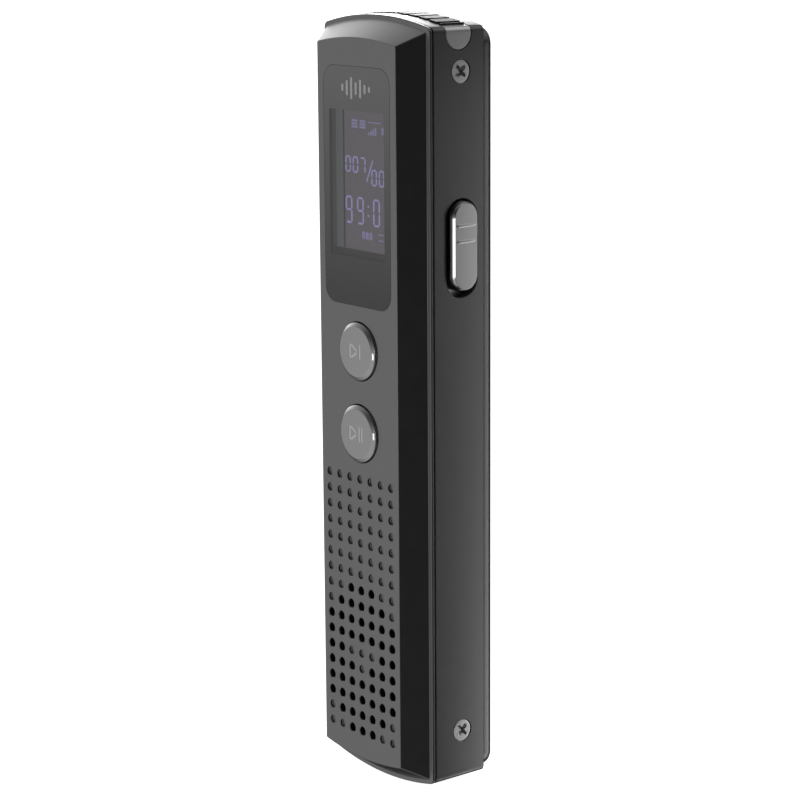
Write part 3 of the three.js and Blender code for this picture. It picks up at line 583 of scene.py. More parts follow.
def display_glass():
    """Pale grey glass, lit faintly from behind."""
    graph = Graph("display_glass")
    cloud = graph.noise(grey(0.6), 2.0)
    graph.colour(graph.spread(cloud, 0, 1), (0.060, 0.066, 0.066), (0.072, 0.080, 0.079))
    graph.roughness(graph.spread(cloud, 0.12, 0.2))
    graph.set(Coat_Weight=0.5, Emission_Color=(0.10, 0.115, 0.115, 1), Emission_Strength=0.85)
    return graph.material


def circuit_board():
    """Green solder mask over a faint lattice of tracks."""
    graph = Graph("circuit_board")
    tracks = graph.cells((1.1, 1.1, 1.1), "DISTANCE_TO_EDGE")
    line = graph.spread(tracks, 1, 0, 0.04, 0.09)
    fibre = graph.noise((12, 12, 12))
    mask = graph.blend(graph.spread(fibre, 0, 1), (0.012, 0.085, 0.03), (0.02, 0.12, 0.045))
    graph.colour(line, mask, (0.04, 0.2, 0.08))
    graph.roughness(graph.spread(fibre, 0.25, 0.4))
    graph.bump(line, 0.02)
    return graph.material


def woven_mesh():
    """Fine black acoustic cloth: two crossed sets of threads."""
    graph = Graph("mesh_cloth")
    weave = graph.math("MULTIPLY", graph.waves((2.4, 2.4, 2.4), "X"), graph.waves((2.4, 2.4, 2.4), "Z"))
    graph.colour(weave, grey(0.002), grey(0.012))
    graph.roughness(graph.spread(weave, 0.7, 0.95, 0, 1))
    graph.bump(weave, 0.03)
    return graph.material


def closed_foam():
    """Black foam with small closed pores."""
    graph = Graph("foam")
    pores = graph.cells((5, 5, 5))
    graph.colour(graph.spread(pores, 0, 1, 0.1, 0.6), grey(0.03), grey(0.01))
    graph.roughness(graph.spread(pores, 0.85, 1.0, 0, 1))
    graph.bump(pores, 0.05)
    return graph.material


def wound_copper():
    """Enamelled copper wire, wound turn by turn."""
    graph = Graph("copper")
    turns = graph.waves((1, 6, 1), "Y")
    graph.colour(turns, (0.25, 0.07, 0.02), (0.55, 0.2, 0.08))
    graph.roughness(graph.spread(turns, 0.45, 0.25, 0, 1))
    graph.bump(turns, 0.03)
    graph.set(Metallic=1.0)
    return graph.material


for slot_name, make in (
    ("smoked_window", smoked_window), ("display_glass", display_glass), ("circuit_board", circuit_board),
    ("mesh_cloth", woven_mesh), ("foam", closed_foam), ("copper", wound_copper),
):
    materials[slot_name] = make()

for name, node in frame["nodes"].items():
    node.material_slots[0].material = materials[slot_of_node[name]]


def lit(name, colour):
    """A faintly glowing layer of the display, lit from behind."""
    graph = Graph(name)
    cloud = graph.spread(graph.noise((1.2, 1.2, 1.2), 2.0), 0, 1)
    glow = graph.blend(cloud, shade(colour, 0.94), shade(colour, 1.06))
    graph.colour(cloud, shade(colour, 0.2), shade(colour, 0.25))
    graph.links.new(glow, graph.shader.inputs["Emission Color"])
    graph.set(Emission_Strength=1.0, Roughness=0.4)
    return graph.material


def border_print_painted_light():
    """The window's printed border: satin grey ink, with painted light that makes it lighter towards its top
    edge.
    """
    graph = Graph("window_border_ink_painted_light")
    height = graph.add("SeparateXYZ", {"Vector": graph.place}).outputs["Z"]
    # Painted light: the ink grows lighter with height, from z 60 mm to 88 mm; the speckle is the ink's own.
    rise = graph.spread(height, 0, 1, 0.060, 0.088)
    speckle = graph.noise((9, 9, 9), 2.0)
    painted_light_and_speckle = graph.math("ADD", rise, graph.spread(speckle, -0.03, 0.03))
    graph.colour(painted_light_and_speckle, grey(0.16), grey(0.34))
    graph.roughness(graph.spread(speckle, 0.36, 0.44))
    graph.set(Metallic=1.0)
    return graph.material


def contact_gold():
    graph = Graph("contact_gold")
    gold = (0.75, 0.5, 0.17)
    speckle = graph.noise((10, 10, 10), 2.0)
    graph.colour(graph.spread(speckle, 0, 1), shade(gold, 0.93), shade(gold, 1.05))
    graph.roughness(graph.spread(speckle, 0.4, 0.5))
    graph.set(Metallic=1.0)
    return graph.material


def fine_metal(name, tone, grain, roughness, variation, rough_spread):
    """A smooth grey metal with a faint grain and no bump."""
    return grained(name, grey(tone), grain, roughness, variation, 0.0, rough_spread, Metallic=1.0)


bright_cut = fine_metal("bright_cut", 0.66, (3, 3, 3), 0.10, 0.02, 0.02)
knob_look = fine_metal("knob_metal", 0.53, (14, 14, 3), 0.30, 0.015, 0.004)
symbol_look = fine_metal("key_symbol", 0.92, (9, 9, 9), 0.35, 0.03, 0.03)
waveform_look = fine_metal("waveform_print", 0.78, (9, 9, 9), 0.4, 0.03, 0.03)
polariser_look = lit("lcd_polariser", (0.122, 0.104, 0.128))
digit_look = lit("lcd_digit", (0.38, 0.35, 0.72))
icon_look = lit("lcd_icon", (0.27, 0.24, 0.48))


# --- Shells

def flared_hole(radius, depth, flare=0.07):
    """The profile of a cutter for a round hole through the front face, with a slightly broken edge."""
    mouth = radius + flare
    return [(mouth + FRONT_SPILL, -FRONT_SPILL), (mouth, 0), (radius, flare), (radius, depth)]


def dimple():
    """The profile of a cutter for a shallow blind hole with a flat floor."""
    edge, floor_round = 0.03, 0.1
    mouth = DIMPLE_RADIUS + edge
    floor_radius = DIMPLE_RADIUS - floor_round
    floor = arc((floor_radius, DIMPLE_DEPTH - floor_round), floor_round, 0, math.pi / 2, 4)
    return [(mouth + FRONT_SPILL, -FRONT_SPILL), (mouth, 0), (DIMPLE_RADIUS, edge)] + floor


def grille_places():
    """Every place of the grille's grid as (x, z, open)."""
    for column in range(-GRILLE_HALF_COLUMNS, GRILLE_HALF_COLUMNS + 1):
        for row in range(-GRILLE_HALF_ROWS, GRILLE_HALF_ROWS + 1):
            across = column / OPEN_PATCH_HALF_WIDTH
            down = (row - OPEN_PATCH_ROW) / OPEN_PATCH_HALF_HEIGHT
            blank_wedge = row >= 3 and abs(column) + row - 3 <= 1
            is_open = across ** 2 + down ** 2 <= 1 and not blank_wedge
            yield column * HOLE_PITCH, GRILLE_CENTRE_Z - row * HOLE_PITCH, is_open


def window_outline(grow=0.0):
    low, high = box_mm("display_window")
    width, height = high.x - low.x + 2 * grow, high.z - low.z + 2 * grow
    return rounded_rect(width, height, WINDOW_ROUND + grow, (0, (low.z + high.z) / 2), 3 * CORNER_STEPS)


def view_outline(grow=0.0):
    width = 2 * (VIEW_HALF_WIDTH + grow)
    height = VIEW_TOP - VIEW_BOTTOM + 2 * grow
    return rounded_rect(width, height, VIEW_ROUND, (0, (VIEW_TOP + VIEW_BOTTOM) / 2))


def front_cover():
    edge, fold, rim, lip = 0.07, 0.05, 0.12, 0.06
    outside = rounded_path(
        [(0, FACE_INSET + edge), (0, FACE_INSET), (CHAMFER_DEPTH, LEDGE_WIDTH),
         (CHAMFER_DEPTH + LEDGE_TURN, 0), (FRONT_SEAM, 0), (FRONT_SEAM, lip)],
        (edge, fold, rim, lip),
    )
    inside = [
        (FRONT_WALL, FACE_INSET + INNER_CHAMFER_INSET), (CHAMFER_DEPTH, WALL), (FRONT_SEAM + PAST, WALL),
    ]
    through = FRONT_WALL + PAST
    recess = solid(
        ring("depth", window_outline(WINDOW_FLARE + WINDOW_SPILL), -WINDOW_SPILL),
        ring("depth", window_outline(WINDOW_FLARE), 0),
        ring("depth", window_outline(WINDOW_SLACK), WINDOW_FLARE - WINDOW_SLACK),
        ring("depth", window_outline(WINDOW_SLACK), WINDOW_RECESS),
    )
    cutters = [recess]
    for key in FRONT_KEYS:
        profile = flared_hole(KEY_RADIUS + KEY_GAP, through, 0.06)
        cutters.append(turned(profile, (0, 0, middle(key).z), steps=KEY_HOLE_STEPS))
    for x, z, is_open in grille_places():
        profile = flared_hole(HOLE_RADIUS, through) if is_open else dimple()
        cutters.append(turned(profile, (x, 0, z), steps=GRILLE_HOLE_STEPS))
    cover = cut(skinned(outside), skinned(inside), joined(*cutters))
    return cut(cover, prism("depth", view_outline(COVER_VIEW_MARGIN), 0.5, through))


def side_opening(width, length, centre, flare=0.1):
    """A cutter for a long opening in the right side wall, with a slightly broken edge."""
    rings = [(HALF_WIDTH - 2 * WALL, 0), (HALF_WIDTH - flare, 0), (HALF_WIDTH, flare),
             (HALF_WIDTH + SIDE_SPILL, flare + SIDE_SPILL)]
    return solid(*(ring("x", stadium(width + 2 * g, length + 2 * g, centre), x) for x, g in rings))


def countersink(centre):
    """A cutter for a side screw's seat, on the right side wall."""
    slack, edge, flare = 0.05, 0.05, 0.07
    mouth, neck = SCREW_HEAD_RADIUS + slack, SCREW_SHANK_RADIUS + slack
    profile = [(neck, -SCREW_LENGTH), (neck, -SCREW_HEAD_DEPTH - slack), (mouth, -SCREW_HEAD_RIM),
               (mouth, -edge), (mouth + flare, 0), (mouth + flare + SIDE_SPILL, SIDE_SPILL)]
    return turned(profile, (HALF_WIDTH, centre.y, centre.z), "x")


def mic_band(gap):
    """The slab of the body that the microphone strip takes, with half-round feet on each side."""
    low, high = box_mm("mic_saddle")
    half = (high.y - low.y) / 2 + gap
    centre = ((low.y + high.y) / 2, low.z + (high.y - low.y) / 2)
    foot = arc(centre, half, math.pi, 2 * math.pi, FOOT_STEPS)
    outline = foot + [(centre[0] + half, BODY_HEIGHT + PAST), (centre[0] - half, BODY_HEIGHT + PAST)]
    return prism("x", outline, -HALF_WIDTH - PAST, HALF_WIDTH + PAST)


def usb_outline(grow):
    low, high = box_mm("usb_shell")
    centre = ((low.x + high.x) / 2, (low.y + high.y) / 2)
    return rounded_rect(high.x - low.x + 2 * grow, high.y - low.y + 2 * grow, USB_ROUND + grow, centre)


def jack_centre():
    """The middle of the headphone socket's mouth, on the bottom plane."""
    low, high = box_mm("headphone_jack")
    return Vector(((low.x + high.x) / 2, JACK_DEPTH, 0))


def housing():
    front, back = 0.1, 0.05
    outside = rounded_path(
        [(HOUSING_FRONT, front), (HOUSING_FRONT, 0), (BACK_SEAM, 0), (BACK_SEAM, back * 0.6)],
        (front, back), 6,
    )
    sleeve = cut(skinned(outside), body_slice(WALL, FRONT_SEAM - PAST, BODY_DEPTH), mic_band(MIC_GAP))
    cutters = [side_opening(SLOT_WIDTH, SLOT_LENGTH, (middle("record_slider").y, SLOT_CENTRE_Z), 0.06)]
    for key in VOLUME_KEYS:
        centre = middle(key)
        cutters.append(mirrored(side_opening(*VOLUME_OPENING, (centre.y, centre.z))))
    for name in SCREWS:
        seat = countersink(middle(name))
        cutters.append(seat if "right" in name else mirrored(seat))
    through = 3 * WALL
    steps = [(-1.0, 1.0), (0.35, USB_GAP), (through, USB_GAP)]
    usb_mouth = solid(*(ring("z", usb_outline(grow), z) for z, grow in steps))
    steps = [(0.6, -0.6), (0, 0), (0, 0.3), (0, through)]
    jack_mouth = turned([(JACK_MOUTH_RADIUS + grow, z) for grow, z in steps], jack_centre(), "z")
    return cut(sleeve, joined(*cutters), usb_mouth, jack_mouth)


def back_cover():
    edge, fold, rounding = 0.04, 0.05, 1.2
    start = BACK_SEAM + BACK_SEAM_GAP
    outside = rounded_path(
        [(start, edge + fold), (start, edge), (BODY_DEPTH, edge), (BODY_DEPTH, edge + rounding)],
        (fold, rounding), 8,
    )
    lid = skinned(outside, BACK_CORNER, BACK_END_INSET)
    lip = body_slice(WALL + BACK_LIP_GAP, BACK_SEAM - 0.4, BACK_SEAM + 0.2)
    hollow = body_slice(WALL + BACK_LIP_WALL, BACK_SEAM - PAST, BODY_DEPTH - BACK_PLATE)
    return cut(combine("UNION", lid, lip), hollow)


def side_screw(name):
    """A countersunk screw with a cross recess, its head facing +x from the right wall."""
    centre = middle(name)
    head = HALF_WIDTH - SCREW_SINK
    profile = [(SCREW_SHANK_RADIUS * 0.5, -SCREW_LENGTH), (SCREW_SHANK_RADIUS, SCREW_POINT - SCREW_LENGTH),
               (SCREW_SHANK_RADIUS, -SCREW_HEAD_DEPTH), (SCREW_HEAD_RADIUS - 0.02, -SCREW_HEAD_RIM),
               (SCREW_HEAD_RADIUS, -0.08), (SCREW_HEAD_RADIUS - 0.03, -0.02), (SCREW_HEAD_RADIUS - 0.1, 0)]
    body = turned(profile, (head, centre.y, centre.z), "x")
    rings = []
    for along, reach, half in ((0.2, 1.05, 0.31), (0, 0.95, 0.27), (-0.45, 0.4, 0.16)):
        star = []
        for k in range(4):
            turn = math.pi / 4 + k * math.pi / 2
            for out, side in ((half, -half), (reach - half * 0.6, -half), (reach, -half * 0.4),
                              (reach, half * 0.4), (reach - half * 0.6, half)):
                star.append((
                    centre.y + out * math.cos(turn) - side * math.sin(turn),
                    centre.z + out * math.sin(turn) + side * math.cos(turn),
                ))
        rings.append(ring("x", star, head + along))
    return cut(body, solid(*rings))


def cover_rim(normal, centre):
    """Whether a face is part of the front cover's side, which has the housing's black finish."""
    return abs(normal.y) < 0.3 and CHAMFER_DEPTH < centre.y < FRONT_SEAM and abs(centre.x) > HALF_WIDTH - 0.2


def slot_wall_painted_shade(normal, centre):
    """Whether a face is inside the slider's slot, which takes the near-black rubber look as painted shade.
    """
    along = abs(centre.z - SLOT_CENTRE_Z) < SLOT_LENGTH / 2 + WALL_TEST_MARGIN
    across = abs(centre.y - middle("record_slider").y) < SLOT_WIDTH / 2 + WALL_TEST_MARGIN
    return along and across and HALF_WIDTH - WALL < centre.x and abs(normal.x) < 0.5


add_piece("front_cover_shell", front_cover(), "front_cover", accent=(materials["black_metal"], cover_rim))
# The slot's inner walls get the near-black rubber look as painted shade.
add_piece("housing_shell", housing(), "housing", accent=(materials["rubber"], slot_wall_painted_shade))
add_piece("back_cover_shell", back_cover(), "back_cover")
for screw_name in SCREWS:
    screw = side_screw(screw_name)
    add_piece(f"{screw_name}_detail", screw if "right" in screw_name else mirrored(screw), screw_name)


# --- Microphone strip

def mic_strip():
    """(saddle, grille): the bright saddle over the top, and the dark ribbed grille let into it."""
    low, high = box_mm("mic_saddle")
    reach = (low.y - PAST, high.y + PAST)
    grille_low, grille_high = box_mm("mic_grille")

    def top_band(rise, thickness, half_length, start, end):
        """A band over the top end, from above the body's outline to a thickness below it."""
        band = cut(body_slice(-rise, start, end), body_slice(thickness, 0, BODY_DEPTH))
        keep = block((-half_length, 0, BODY_HEIGHT / 2), (half_length, BODY_DEPTH, BODY_HEIGHT + 2))
        return combine("INTERSECT", band, keep)

    bent = cut(body_slice(MIC_SADDLE_INSET, *reach), body_slice(MIC_SADDLE_THICKNESS, 0, BODY_DEPTH))
    seat = top_band(PAST, MIC_SEAT_DEPTH, grille_high.x + MIC_SEAT_GAP, *reach)
    saddle = cut(combine("INTERSECT", bent, mic_band(0)), seat)
    grille = top_band(MIC_GRILLE_RISE, MIC_GRILLE_DEPTH, grille_high.x, grille_low.y, grille_high.y)
    grooves = []
    for k in range(MIC_RIB_COUNT):
        lean = math.asin((k - (MIC_RIB_COUNT - 1) / 2) * MIC_RIB_PITCH / END_ARC)
        outline = rounded_rect(
            MIC_GROOVE["width"], MIC_GROOVE["height"], MIC_GROOVE["round"],
            (0, END_ARC + MIC_GROOVE["rise"]), 6,
        )
        groove = prism("depth", outline, -1, BODY_DEPTH)
        bmesh.ops.rotate(groove, verts=groove.verts, cent=(0, 0, 0), matrix=Matrix.Rotation(lean, 3, "Y"))
        grooves.append(moved(groove, (0, 0, BODY_HEIGHT - END_ARC)))
    return saddle, cut(grille, joined(*grooves))


saddle_mesh, grille_mesh = mic_strip()
add_piece("mic_saddle_detail", saddle_mesh, "mic_saddle")
add_piece("mic_grille_detail", grille_mesh, "mic_grille")


# --- Display

SEGMENTS = {"0": "abcdef", "7": "abc", "8": "abcdefg", "9": "abcdfg"}
INK_BACK = box_mm("lcd_glass")[0].y - 0.02
INK_FRONT = box_mm("lcd_glass")[0].y - 0.05


def bar_points(start, end, thickness):
    """A long hexagon between two points, as one segment of a digit."""
    start, end = Vector(start), Vector(end)
    along = (end - start).normalized() * thickness / 2
    across = Vector((-along.y, along.x))
    corners = (
        start, start + along - across, end - along - across,
        end, end - along + across, start + along + across,
    )
    return [tuple(corner) for corner in corners]


def ink(mesh, outline):
    push(mesh, "depth", outline, INK_FRONT, INK_BACK)


def digit(mesh, character, x, z, width, height, thickness):
    """Seven-segment digit with its lower left corner at (x, z)."""
    gap = thickness * 0.25
    middle_z = z + height / 2
    ends = {
        "a": ((x, z + height), (x + width, z + height)), "d": ((x, z), (x + width, z)),
        "g": ((x, middle_z), (x + width, middle_z)),
        "f": ((x, middle_z), (x, z + height)), "b": ((x + width, middle_z), (x + width, z + height)),
        "e": ((x, z), (x, middle_z)), "c": ((x + width, z), (x + width, middle_z)),
    }
    for name in SEGMENTS[character]:
        start, end = (Vector(point) for point in ends[name])
        step = (end - start).normalized() * gap
        ink(mesh, bar_points(start + step, end - step, thickness))


def ink_block(mesh, x, z, width, height):
    """A solid mark with its lower left corner at (x, z)."""
    ink(mesh, rounded_rect(width, height, min(width, height) * 0.12, (x + width / 2, z + height / 2), 2))


def display_digits():
    mesh = bmesh.new()
    small = (0.85, 1.75, 0.2)
    large = (1.05, 3.05, 0.24)
    for text, x, z, pitch, shape in (
        ("007", -3.9, 75.05, 1.42, small), ("008", 1.1, 73.75, 1.42, small),
        ("99", -3.9, 68.95, 2.2, large), ("00", 1.4, 68.95, 2.2, large),
    ):
        for k, character in enumerate(text):
            digit(mesh, character, x + k * pitch, z, *shape)
    ink(mesh, bar_points((0.05, 74.0), (1.32, 76.7), 0.16))
    for z in (69.9, 71.0):
        ink_block(mesh, 0.25, z, 0.24, 0.24)
    return mesh


def display_icons():
    """Generic status marks: tiles, a line, a signal ladder, a battery, blocks and dashes."""
    mesh = bmesh.new()
    for x in (-2.7, -1.15):
        for row in range(3):
            ink_block(mesh, x, 80.3 + row * 0.36, 1.1, 0.26)
    ink_block(mesh, 0.5, 81.05, 2.3, 0.12)
    for k in range(4):
        ink_block(mesh, 0.5 + k * 0.42, 79.6, 0.26, 0.3 + 0.22 * k)
    ink_block(mesh, 3.0, 79.8, 1.3, 0.8)
    ink_block(mesh, 4.32, 80.02, 0.18, 0.36)
    for k in range(3):
        ink_block(mesh, -0.85 + k * 0.7, 67.2, 0.5, 0.85)
    ink_block(mesh, 2.3, 67.2, 0.9, 0.14)
    ink_block(mesh, 2.3, 67.9, 0.9, 0.14)
    return mesh


def display_layers():
    """The display's glass, and on it the polariser, the edge seal and the ink."""
    low, high = box_mm("lcd_glass")
    centre = ((low.x + high.x) / 2, (low.z + high.z) / 2)
    size = high - low
    glass = eased(
        "depth", lambda grow: rounded_rect(size.x + 2 * grow, size.z + 2 * grow, 0.3, centre),
        high.y, low.y, 0.08, both=True,
    )
    add_piece("lcd_glass_detail", glass, "lcd_glass")
    middle_x, middle_z = (LCD_LEFT + LCD_RIGHT) / 2, (LCD_BOTTOM + LCD_TOP) / 2
    outline = rounded_rect(LCD_RIGHT - LCD_LEFT, LCD_TOP - LCD_BOTTOM, 0.1, (middle_x, middle_z))
    polariser = prism("depth", outline, low.y - 0.015, low.y + 0.01)
    add_layer("lcd_polariser", polariser, "display_glass", polariser_look)
    front = low.y - FILM
    bars = [
        block((x - 0.13, front, LCD_BOTTOM), (x + 0.13, low.y, LCD_TOP))
        for x in (LCD_LEFT - 0.17, LCD_RIGHT + 0.17)
    ]
    band_end = VIEW_HALF_WIDTH + PAST
    band = block((-band_end, front, LCD_BOTTOM - 1.2), (band_end, low.y, LCD_BOTTOM - 0.05))
    add_layer("lcd_edge_seal", joined(*bars, band), "black_wire")
    add_layer("lcd_digits", display_digits(), "display_glass", digit_look)
    add_layer("lcd_icons", display_icons(), "display_glass", icon_look)


def window_pane():
    """The clear pane, the border printed on it and the tape that holds it."""
    low, high = box_mm("display_window")
    pane = eased("depth", window_outline, high.y, low.y + FILM, FILM)
    add_piece("window_pane", pane, "display_window")
    film = eased("depth", window_outline, low.y + 0.05, low.y, FILM)
    border = cut(film, prism("depth", view_outline(), -PAST, PAST))
    add_layer("window_border", border, "grey_plastic", border_print_painted_light())
    tape_low, tape_high = box_mm("window_tape")
    tape = prism("depth", window_outline(-0.05), tape_low.y, tape_high.y)
    tape = cut(tape, prism("depth", view_outline(COVER_VIEW_MARGIN), 0, 2 * PAST))
    add_piece("window_tape_detail", tape, "window_tape")


def waveform_icon():
    """Seven bars of a sound wave, printed on the window's border above the display."""
    mesh = bmesh.new()
    heights = (0.9, 1.8, 2.6, 1.5, 2.2, 1.1, 0.7)
    pitch, width, centre_z = 0.85, 0.38, 85.1
    front = box_mm("display_window")[0].y - 0.012
    for k, height in enumerate(heights):
        x = (k - (len(heights) - 1) / 2) * pitch
        push(mesh, "depth", stadium(width, height, (x, centre_z)), front, front + 0.02)
    add_layer("waveform_icon", mesh, "tape", waveform_look)


display_layers()
window_pane()
waveform_icon()


# --- Front keys

def key_body(name):
    """A round bevelled key on its flange, with a stem behind it."""
    low, high = box_mm(name)
    face, stem_end = low.y, high.y
    flange = (high.x - low.x) / 2
    centre_radius = 0.001
    profile = rounded_path(
        [(centre_radius, face), (KEY_RADIUS - KEY_BEVEL_INSET, face), (KEY_RADIUS, face + KEY_BEVEL_DEPTH),
         (KEY_RADIUS, KEY_FLANGE_FRONT), (flange, KEY_FLANGE_FRONT), (flange, KEY_FLANGE_BACK),
         (KEY_STEM_RADIUS, KEY_FLANGE_BACK), (KEY_STEM_RADIUS, stem_end), (centre_radius, stem_end)],
        (0.05, 0.05, 0.1, 0.1, 0.1, 0.1, 0.1), 3,
    )
    return turned(profile, (0, 0, middle(name).z), steps=KEY_STEPS)


def groove(points, face):
    """A shallow engraved stroke with sloping sides."""
    mouth = bar_points(*points, STROKE_WIDTH)
    floor = bar_points(*points, STROKE_FLOOR_WIDTH)
    rings = ((mouth, -0.05), (mouth, 0), (floor, STROKE_DEPTH))
    return solid(*(ring("depth", outline, face + depth) for outline, depth in rings))


def key_symbol(name):
    """The strokes of each key's engraved symbol, as pairs of (x, z) ends about the key's centre."""
    if name == "menu_key":
        return [((-1.05, -0.95), (-1.05, 0.95)), ((-0.9, 0.85), (0.35, 0)), ((0.35, 0), (-0.9, -0.85)),
                ((0.8, -0.95), (0.8, 0.95))]
    triangle = [((-1.25, -0.95), (-1.25, 0.95)), ((-1.1, 0.85), (0.05, 0)), ((0.05, 0), (-1.1, -0.85))]
    return triangle + [((0.55, -1.0), (0.55, 1.0)), ((1.05, -1.0), (1.05, 1.0))]


def front_bevel(normal, centre):
    """Whether a face is part of a front key's bevel."""
    return -0.97 < normal.y < -0.5 and centre.y < -0.1


def add_front_key(name):
    """A front key, and the bright fill of its engraved symbol."""
    face, centre = box_mm(name)[0].y, (0, 0, middle(name).z)
    strokes = [tuple((x, z + centre[2]) for x, z in stroke) for stroke in key_symbol(name)]
    mesh = cut(key_body(name), *(groove(stroke, face) for stroke in strokes))
    add_piece(f"{name}_detail", mesh, name, origin=centre, accent=(bright_cut, front_bevel))
    paint = bmesh.new()
    for stroke in strokes:
        fill = bar_points(*stroke, STROKE_FILL_WIDTH)
        push(paint, "depth", fill, face + STROKE_FILL[0], face + STROKE_FILL[1])
    add_piece(f"{name}_symbol", paint, slot="brushed_metal", body=body_of_node[name], look=symbol_look)


for key_name in FRONT_KEYS:
    add_front_key(key_name)


# --- Record slider and volume keys

def thumb_rib(top, centre):
    """A rib across the slider's face: round topped, with round ends."""
    half_steps, turn_steps, smallest = 8, 20, 0.02
    rings = []
    for k in range(-half_steps, half_steps + 1):
        reach = math.sin(k / half_steps * math.pi / 2)
        width = max(math.sqrt(1 - reach ** 8), smallest) if abs(k) < half_steps else smallest
        along = centre[0] + reach * KNOB_RIB_HALF_LENGTH
        rise, half_width = KNOB_RIB_RISE * width, KNOB_RIB_HALF_WIDTH * width
        rings.append([
            (top + rise * math.cos(a), along, centre[1] + half_width * math.sin(a))
            for a in (2 * math.pi * j / turn_steps for j in range(turn_steps))
        ])
    return solid(*rings)


def side_key(size, flange_size, centre, base, top, bevel, shoulder=(0.04, 0.02)):
    """A stadium key that faces +x, on a rounded flange whose back is at base.

    The bevel and the steeper shoulder below it are pairs: how far each rises, and how far it narrows.
    """
    (width, length), (rise, inset), (step, step_inset) = size, bevel, shoulder
    foot = top - rise - step
    rings = [(base, 0), (foot - 0.03, 0), (foot, -0.01), (top - rise - 0.02, -step_inset),
             (top - rise * 0.95, -step_inset - inset * 0.05),
             (top - rise * 0.05, -step_inset - inset * 0.95), (top, -step_inset - inset - 0.03)]
    cap = solid(*(ring("x", stadium(width + 2 * g, length + 2 * g, centre), x) for x, g in rings))
    flange = prism("x", rounded_rect(*flange_size, centre), base, base + SIDE_FLANGE_THICKNESS)
    return combine("UNION", cap, flange)


def record_slider():
    low, high = box_mm("record_slider")
    top = high.x - KNOB_RIB_RISE
    y, z = middle("record_slider").y, middle("record_slider").z
    bevel = (KNOB_BEVEL_RISE, KNOB_BEVEL_INSET)
    knob = side_key((KNOB_WIDTH, KNOB_LENGTH), KNOB_FLANGE, (y, z), low.x, top, bevel, KNOB_SHOULDER)
    ribs = [thumb_rib(top, (y, z + height)) for height in KNOB_RIBS]
    half_width, half_length = KNOB_POCKET["half_width"], KNOB_POCKET["half_length"]
    pocket = block(
        (low.x - PAST, y - half_width, z - half_length),
        (low.x + KNOB_POCKET["end"], y + half_width, z + half_length),
    )
    return cut(combine("UNION", knob, *ribs), pocket)


def knob_bevel(normal, centre):
    """Whether a face is part of the slider's bevel."""
    return 0.15 < normal.x < 0.8 and centre.x < box_mm("record_slider")[1].x - KNOB_RIB_RISE - 0.01


def volume_key(name):
    low, high = box_mm(name)
    centre = (middle(name).y, middle(name).z)
    bevel = (VOLUME_KEY_ROUND, VOLUME_KEY_ROUND)
    return mirrored(side_key(VOLUME_KEY, VOLUME_KEY_FLANGE, centre, -high.x, -low.x, bevel))


slider_accent = (bright_cut, knob_bevel)
add_piece("record_slider_detail", record_slider(), "record_slider", look=knob_look, accent=slider_accent)
for volume_name in VOLUME_KEYS:
    add_piece(f"{volume_name}_detail", volume_key(volume_name), volume_name)


# --- Sockets in the bottom end

def usb_shell():
    low, high = box_mm("usb_shell")
    outer_steps = ((-0.06, low.z), (0, low.z + 0.08), (0, high.z))
    inner_steps = ((0.3, low.z - 0.2), (0.08, low.z), (0, low.z + 0.1), (0, high.z - USB_SKIN))
    outer = solid(*(ring("z", usb_outline(grow), z) for grow, z in outer_steps))
    inner = solid(*(ring("z", usb_outline(grow - USB_SKIN), z) for grow, z in inner_steps))
    return cut(outer, inner)


def usb_contacts():
    """Five gold contacts along the tongue."""
    low, high = box_mm("usb_tongue")
    mesh = bmesh.new()
    for k in range(5):
        x = (low.x + high.x) / 2 + (k - 2) * 0.65
        push(mesh, "z", rounded_rect(0.34, 0.06, 0.02, (x, high.y + 0.03), 2), low.z + 0.25, high.z - 0.2)
    return mesh


def headphone_jack():
    """A moulded block with a round collar and bore, which face down."""
    low, high = box_mm("headphone_jack")
    centre = jack_centre()
    body = block((low.x, low.y, 2), (high.x, high.y, high.z), 0.4, "z")
    collar = turned(
        [(JACK_COLLAR_RADIUS - 0.1, low.z), (JACK_COLLAR_RADIUS, low.z + 0.1), (JACK_COLLAR_RADIUS, 2.5)],
        centre, "z",
    )
    steps = ((0.3, low.z - 0.3), (0.15, low.z), (0, low.z + 0.15), (0, JACK_BORE_TOP))
    bore = turned([(JACK_BORE_RADIUS + grow, z) for grow, z in steps], centre, "z")
    return cut(combine("UNION", body, collar), bore)


add_piece("usb_shell_detail", usb_shell(), "usb_shell")
add_layer("usb_contacts", usb_contacts(), "brushed_metal", contact_gold())
add_piece("headphone_jack_detail", headphone_jack(), "headphone_jack")


# --- Floor, light and camera

CAMERA_PLACE = Vector((229.205, -182.639, 108.903)) * MM
CAMERA_AZIMUTH = 51.430
CAMERA_ELEVATION = 11.920
CAMERA_ROLL = -0.415
CAMERA_LENS = 110.796
FLOOR_SIZE = 6.0


def add_camera():
    data = bpy.data.cameras.new("camera")
    data.lens = CAMERA_LENS
    data.sensor_width = 36.0
    data.clip_start = 0.01
    data.clip_end = 20.0
    camera = new_object("camera", data)
    turn = (
        Matrix.Rotation(math.radians(CAMERA_AZIMUTH), 4, "Z")
        @ Matrix.Rotation(math.radians(90 - CAMERA_ELEVATION), 4, "X")
        @ Matrix.Rotation(math.radians(CAMERA_ROLL), 4, "Z")
    )
    camera.matrix_world = Matrix.Translation(CAMERA_PLACE) @ turn
    bpy.context.scene.camera = camera


def add_floor():
    data = bpy.data.meshes.new("floor")
    half = FLOOR_SIZE / 2
    corners = [(-half, -half, 0), (half, -half, 0), (half, half, 0), (-half, half, 0)]
    data.from_pydata(corners, [], [(0, 1, 2, 3)])
    floor = new_object("floor", data)
    graph = Graph("pale_floor")
    graph.set(Base_Color=(0.9, 0.9, 0.9, 1), Roughness=0.9)
    graph.set(Emission_Color=(1, 1, 1, 1), Emission_Strength=1.0)
    data.materials.append(graph.material)
    floor.visible_glossy = False
    floor.visible_diffuse = False
    floor.visible_shadow = False


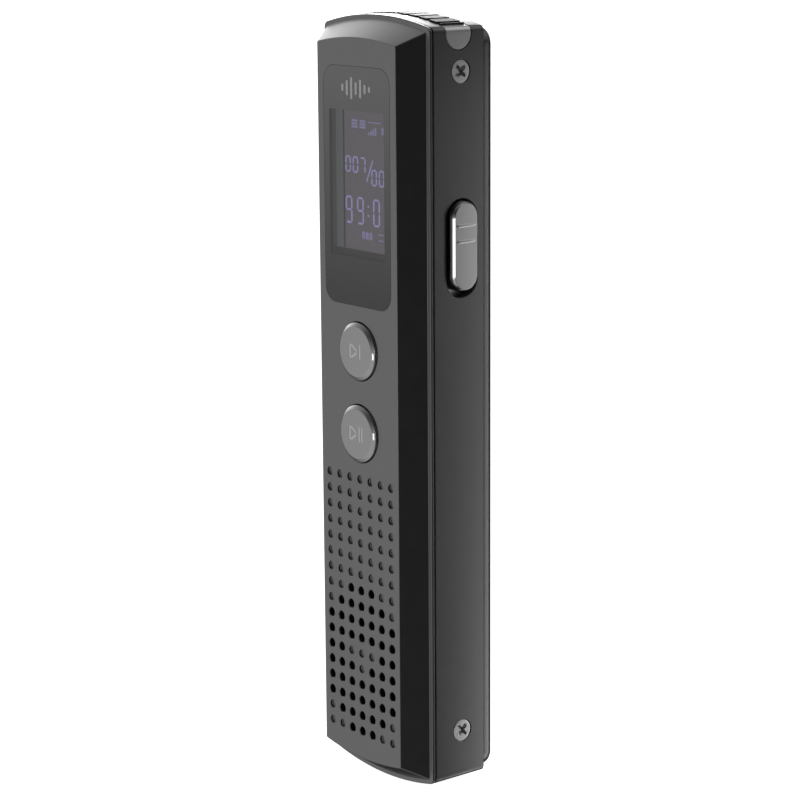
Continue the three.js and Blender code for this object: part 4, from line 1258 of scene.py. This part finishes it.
def add_panel(name, place, target, size, power):
    """A rectangular softbox at a place in millimetres, facing the target."""
    data = bpy.data.lights.new(name, "AREA")
    data.shape = "RECTANGLE"
    data.size, data.size_y = size[0] * MM, size[1] * MM
    data.energy = power
    panel = new_object(name, data)
    place, target = Vector(place) * MM, Vector(target) * MM
    panel.rotation_mode = "QUATERNION"
    panel.rotation_quaternion = (target - place).to_track_quat("-Z", "Y")
    panel.location = place
    panel.visible_camera = False


STUDIO_AMBIENT = 0.014
STUDIO_GLOWS = (
    # direction the glow comes from, strength, sharpness
    ((-0.92, 0.15, 0.36), 1.6, 15.0),
    ((-0.765, 0.61, 0.14), 20.0, 65.0),
    ((-0.80, -0.60, -0.10), 0.345, 5.0),
    ((0.15, -0.95, -0.20), 0.22, 9.0),
    ((0.20, 0.62, 0.75), 0.9, 6.0),
    ((0.55, 0.80, -0.15), 0.08, 5.0),
    ((-0.45, -0.15, 0.88), 0.22, 5.0),
    ((-0.15, -0.60, -0.78), 0.34, 4.0),
)


def add_studio():
    """A white backdrop for the camera, and soft glows from a few directions for everything else."""
    world = bpy.data.worlds.new("studio")
    bpy.context.scene.world = world
    world.use_nodes = True
    graph = Nodes(world.node_tree)
    direction = graph.add("TexCoord", {}).outputs["Generated"]
    total = STUDIO_AMBIENT
    for aim, strength, sharpness in STUDIO_GLOWS:
        aim = Vector(aim).normalized()
        facing = graph.add("VectorMath", {0: direction, 1: aim}, operation="DOT_PRODUCT").outputs["Value"]
        lobe = graph.math("POWER", graph.math("MAXIMUM", facing, 0.0), sharpness)
        total = graph.math("ADD", graph.math("MULTIPLY", lobe, strength), total)
    glow = graph.add("Background", {"Color": total}).outputs["Background"]
    backdrop = graph.add("Background", {"Color": (1, 1, 1, 1)}).outputs["Background"]
    from_camera = graph.add("LightPath", {}).outputs["Is Camera Ray"]
    choose = graph.add("MixShader", {"Fac": from_camera, 1: glow, 2: backdrop})
    graph.add("OutputWorld", {"Surface": choose.outputs["Shader"]})


add_camera()
add_floor()
add_studio()
add_panel("key_panel", (22, -116, 26), (3, 0, 49), (9, 26), 0.0016)
add_panel("slider_panel", (45, -116, 50), (10, 6, 67), (12, 26), 0.0016)
add_panel("wall_panel", (34, 34, 30), (10, 8, 45), (8, 120), 0.009)

scene = bpy.context.scene
scene.view_settings.view_transform = "Standard"
scene.view_settings.look = "None"
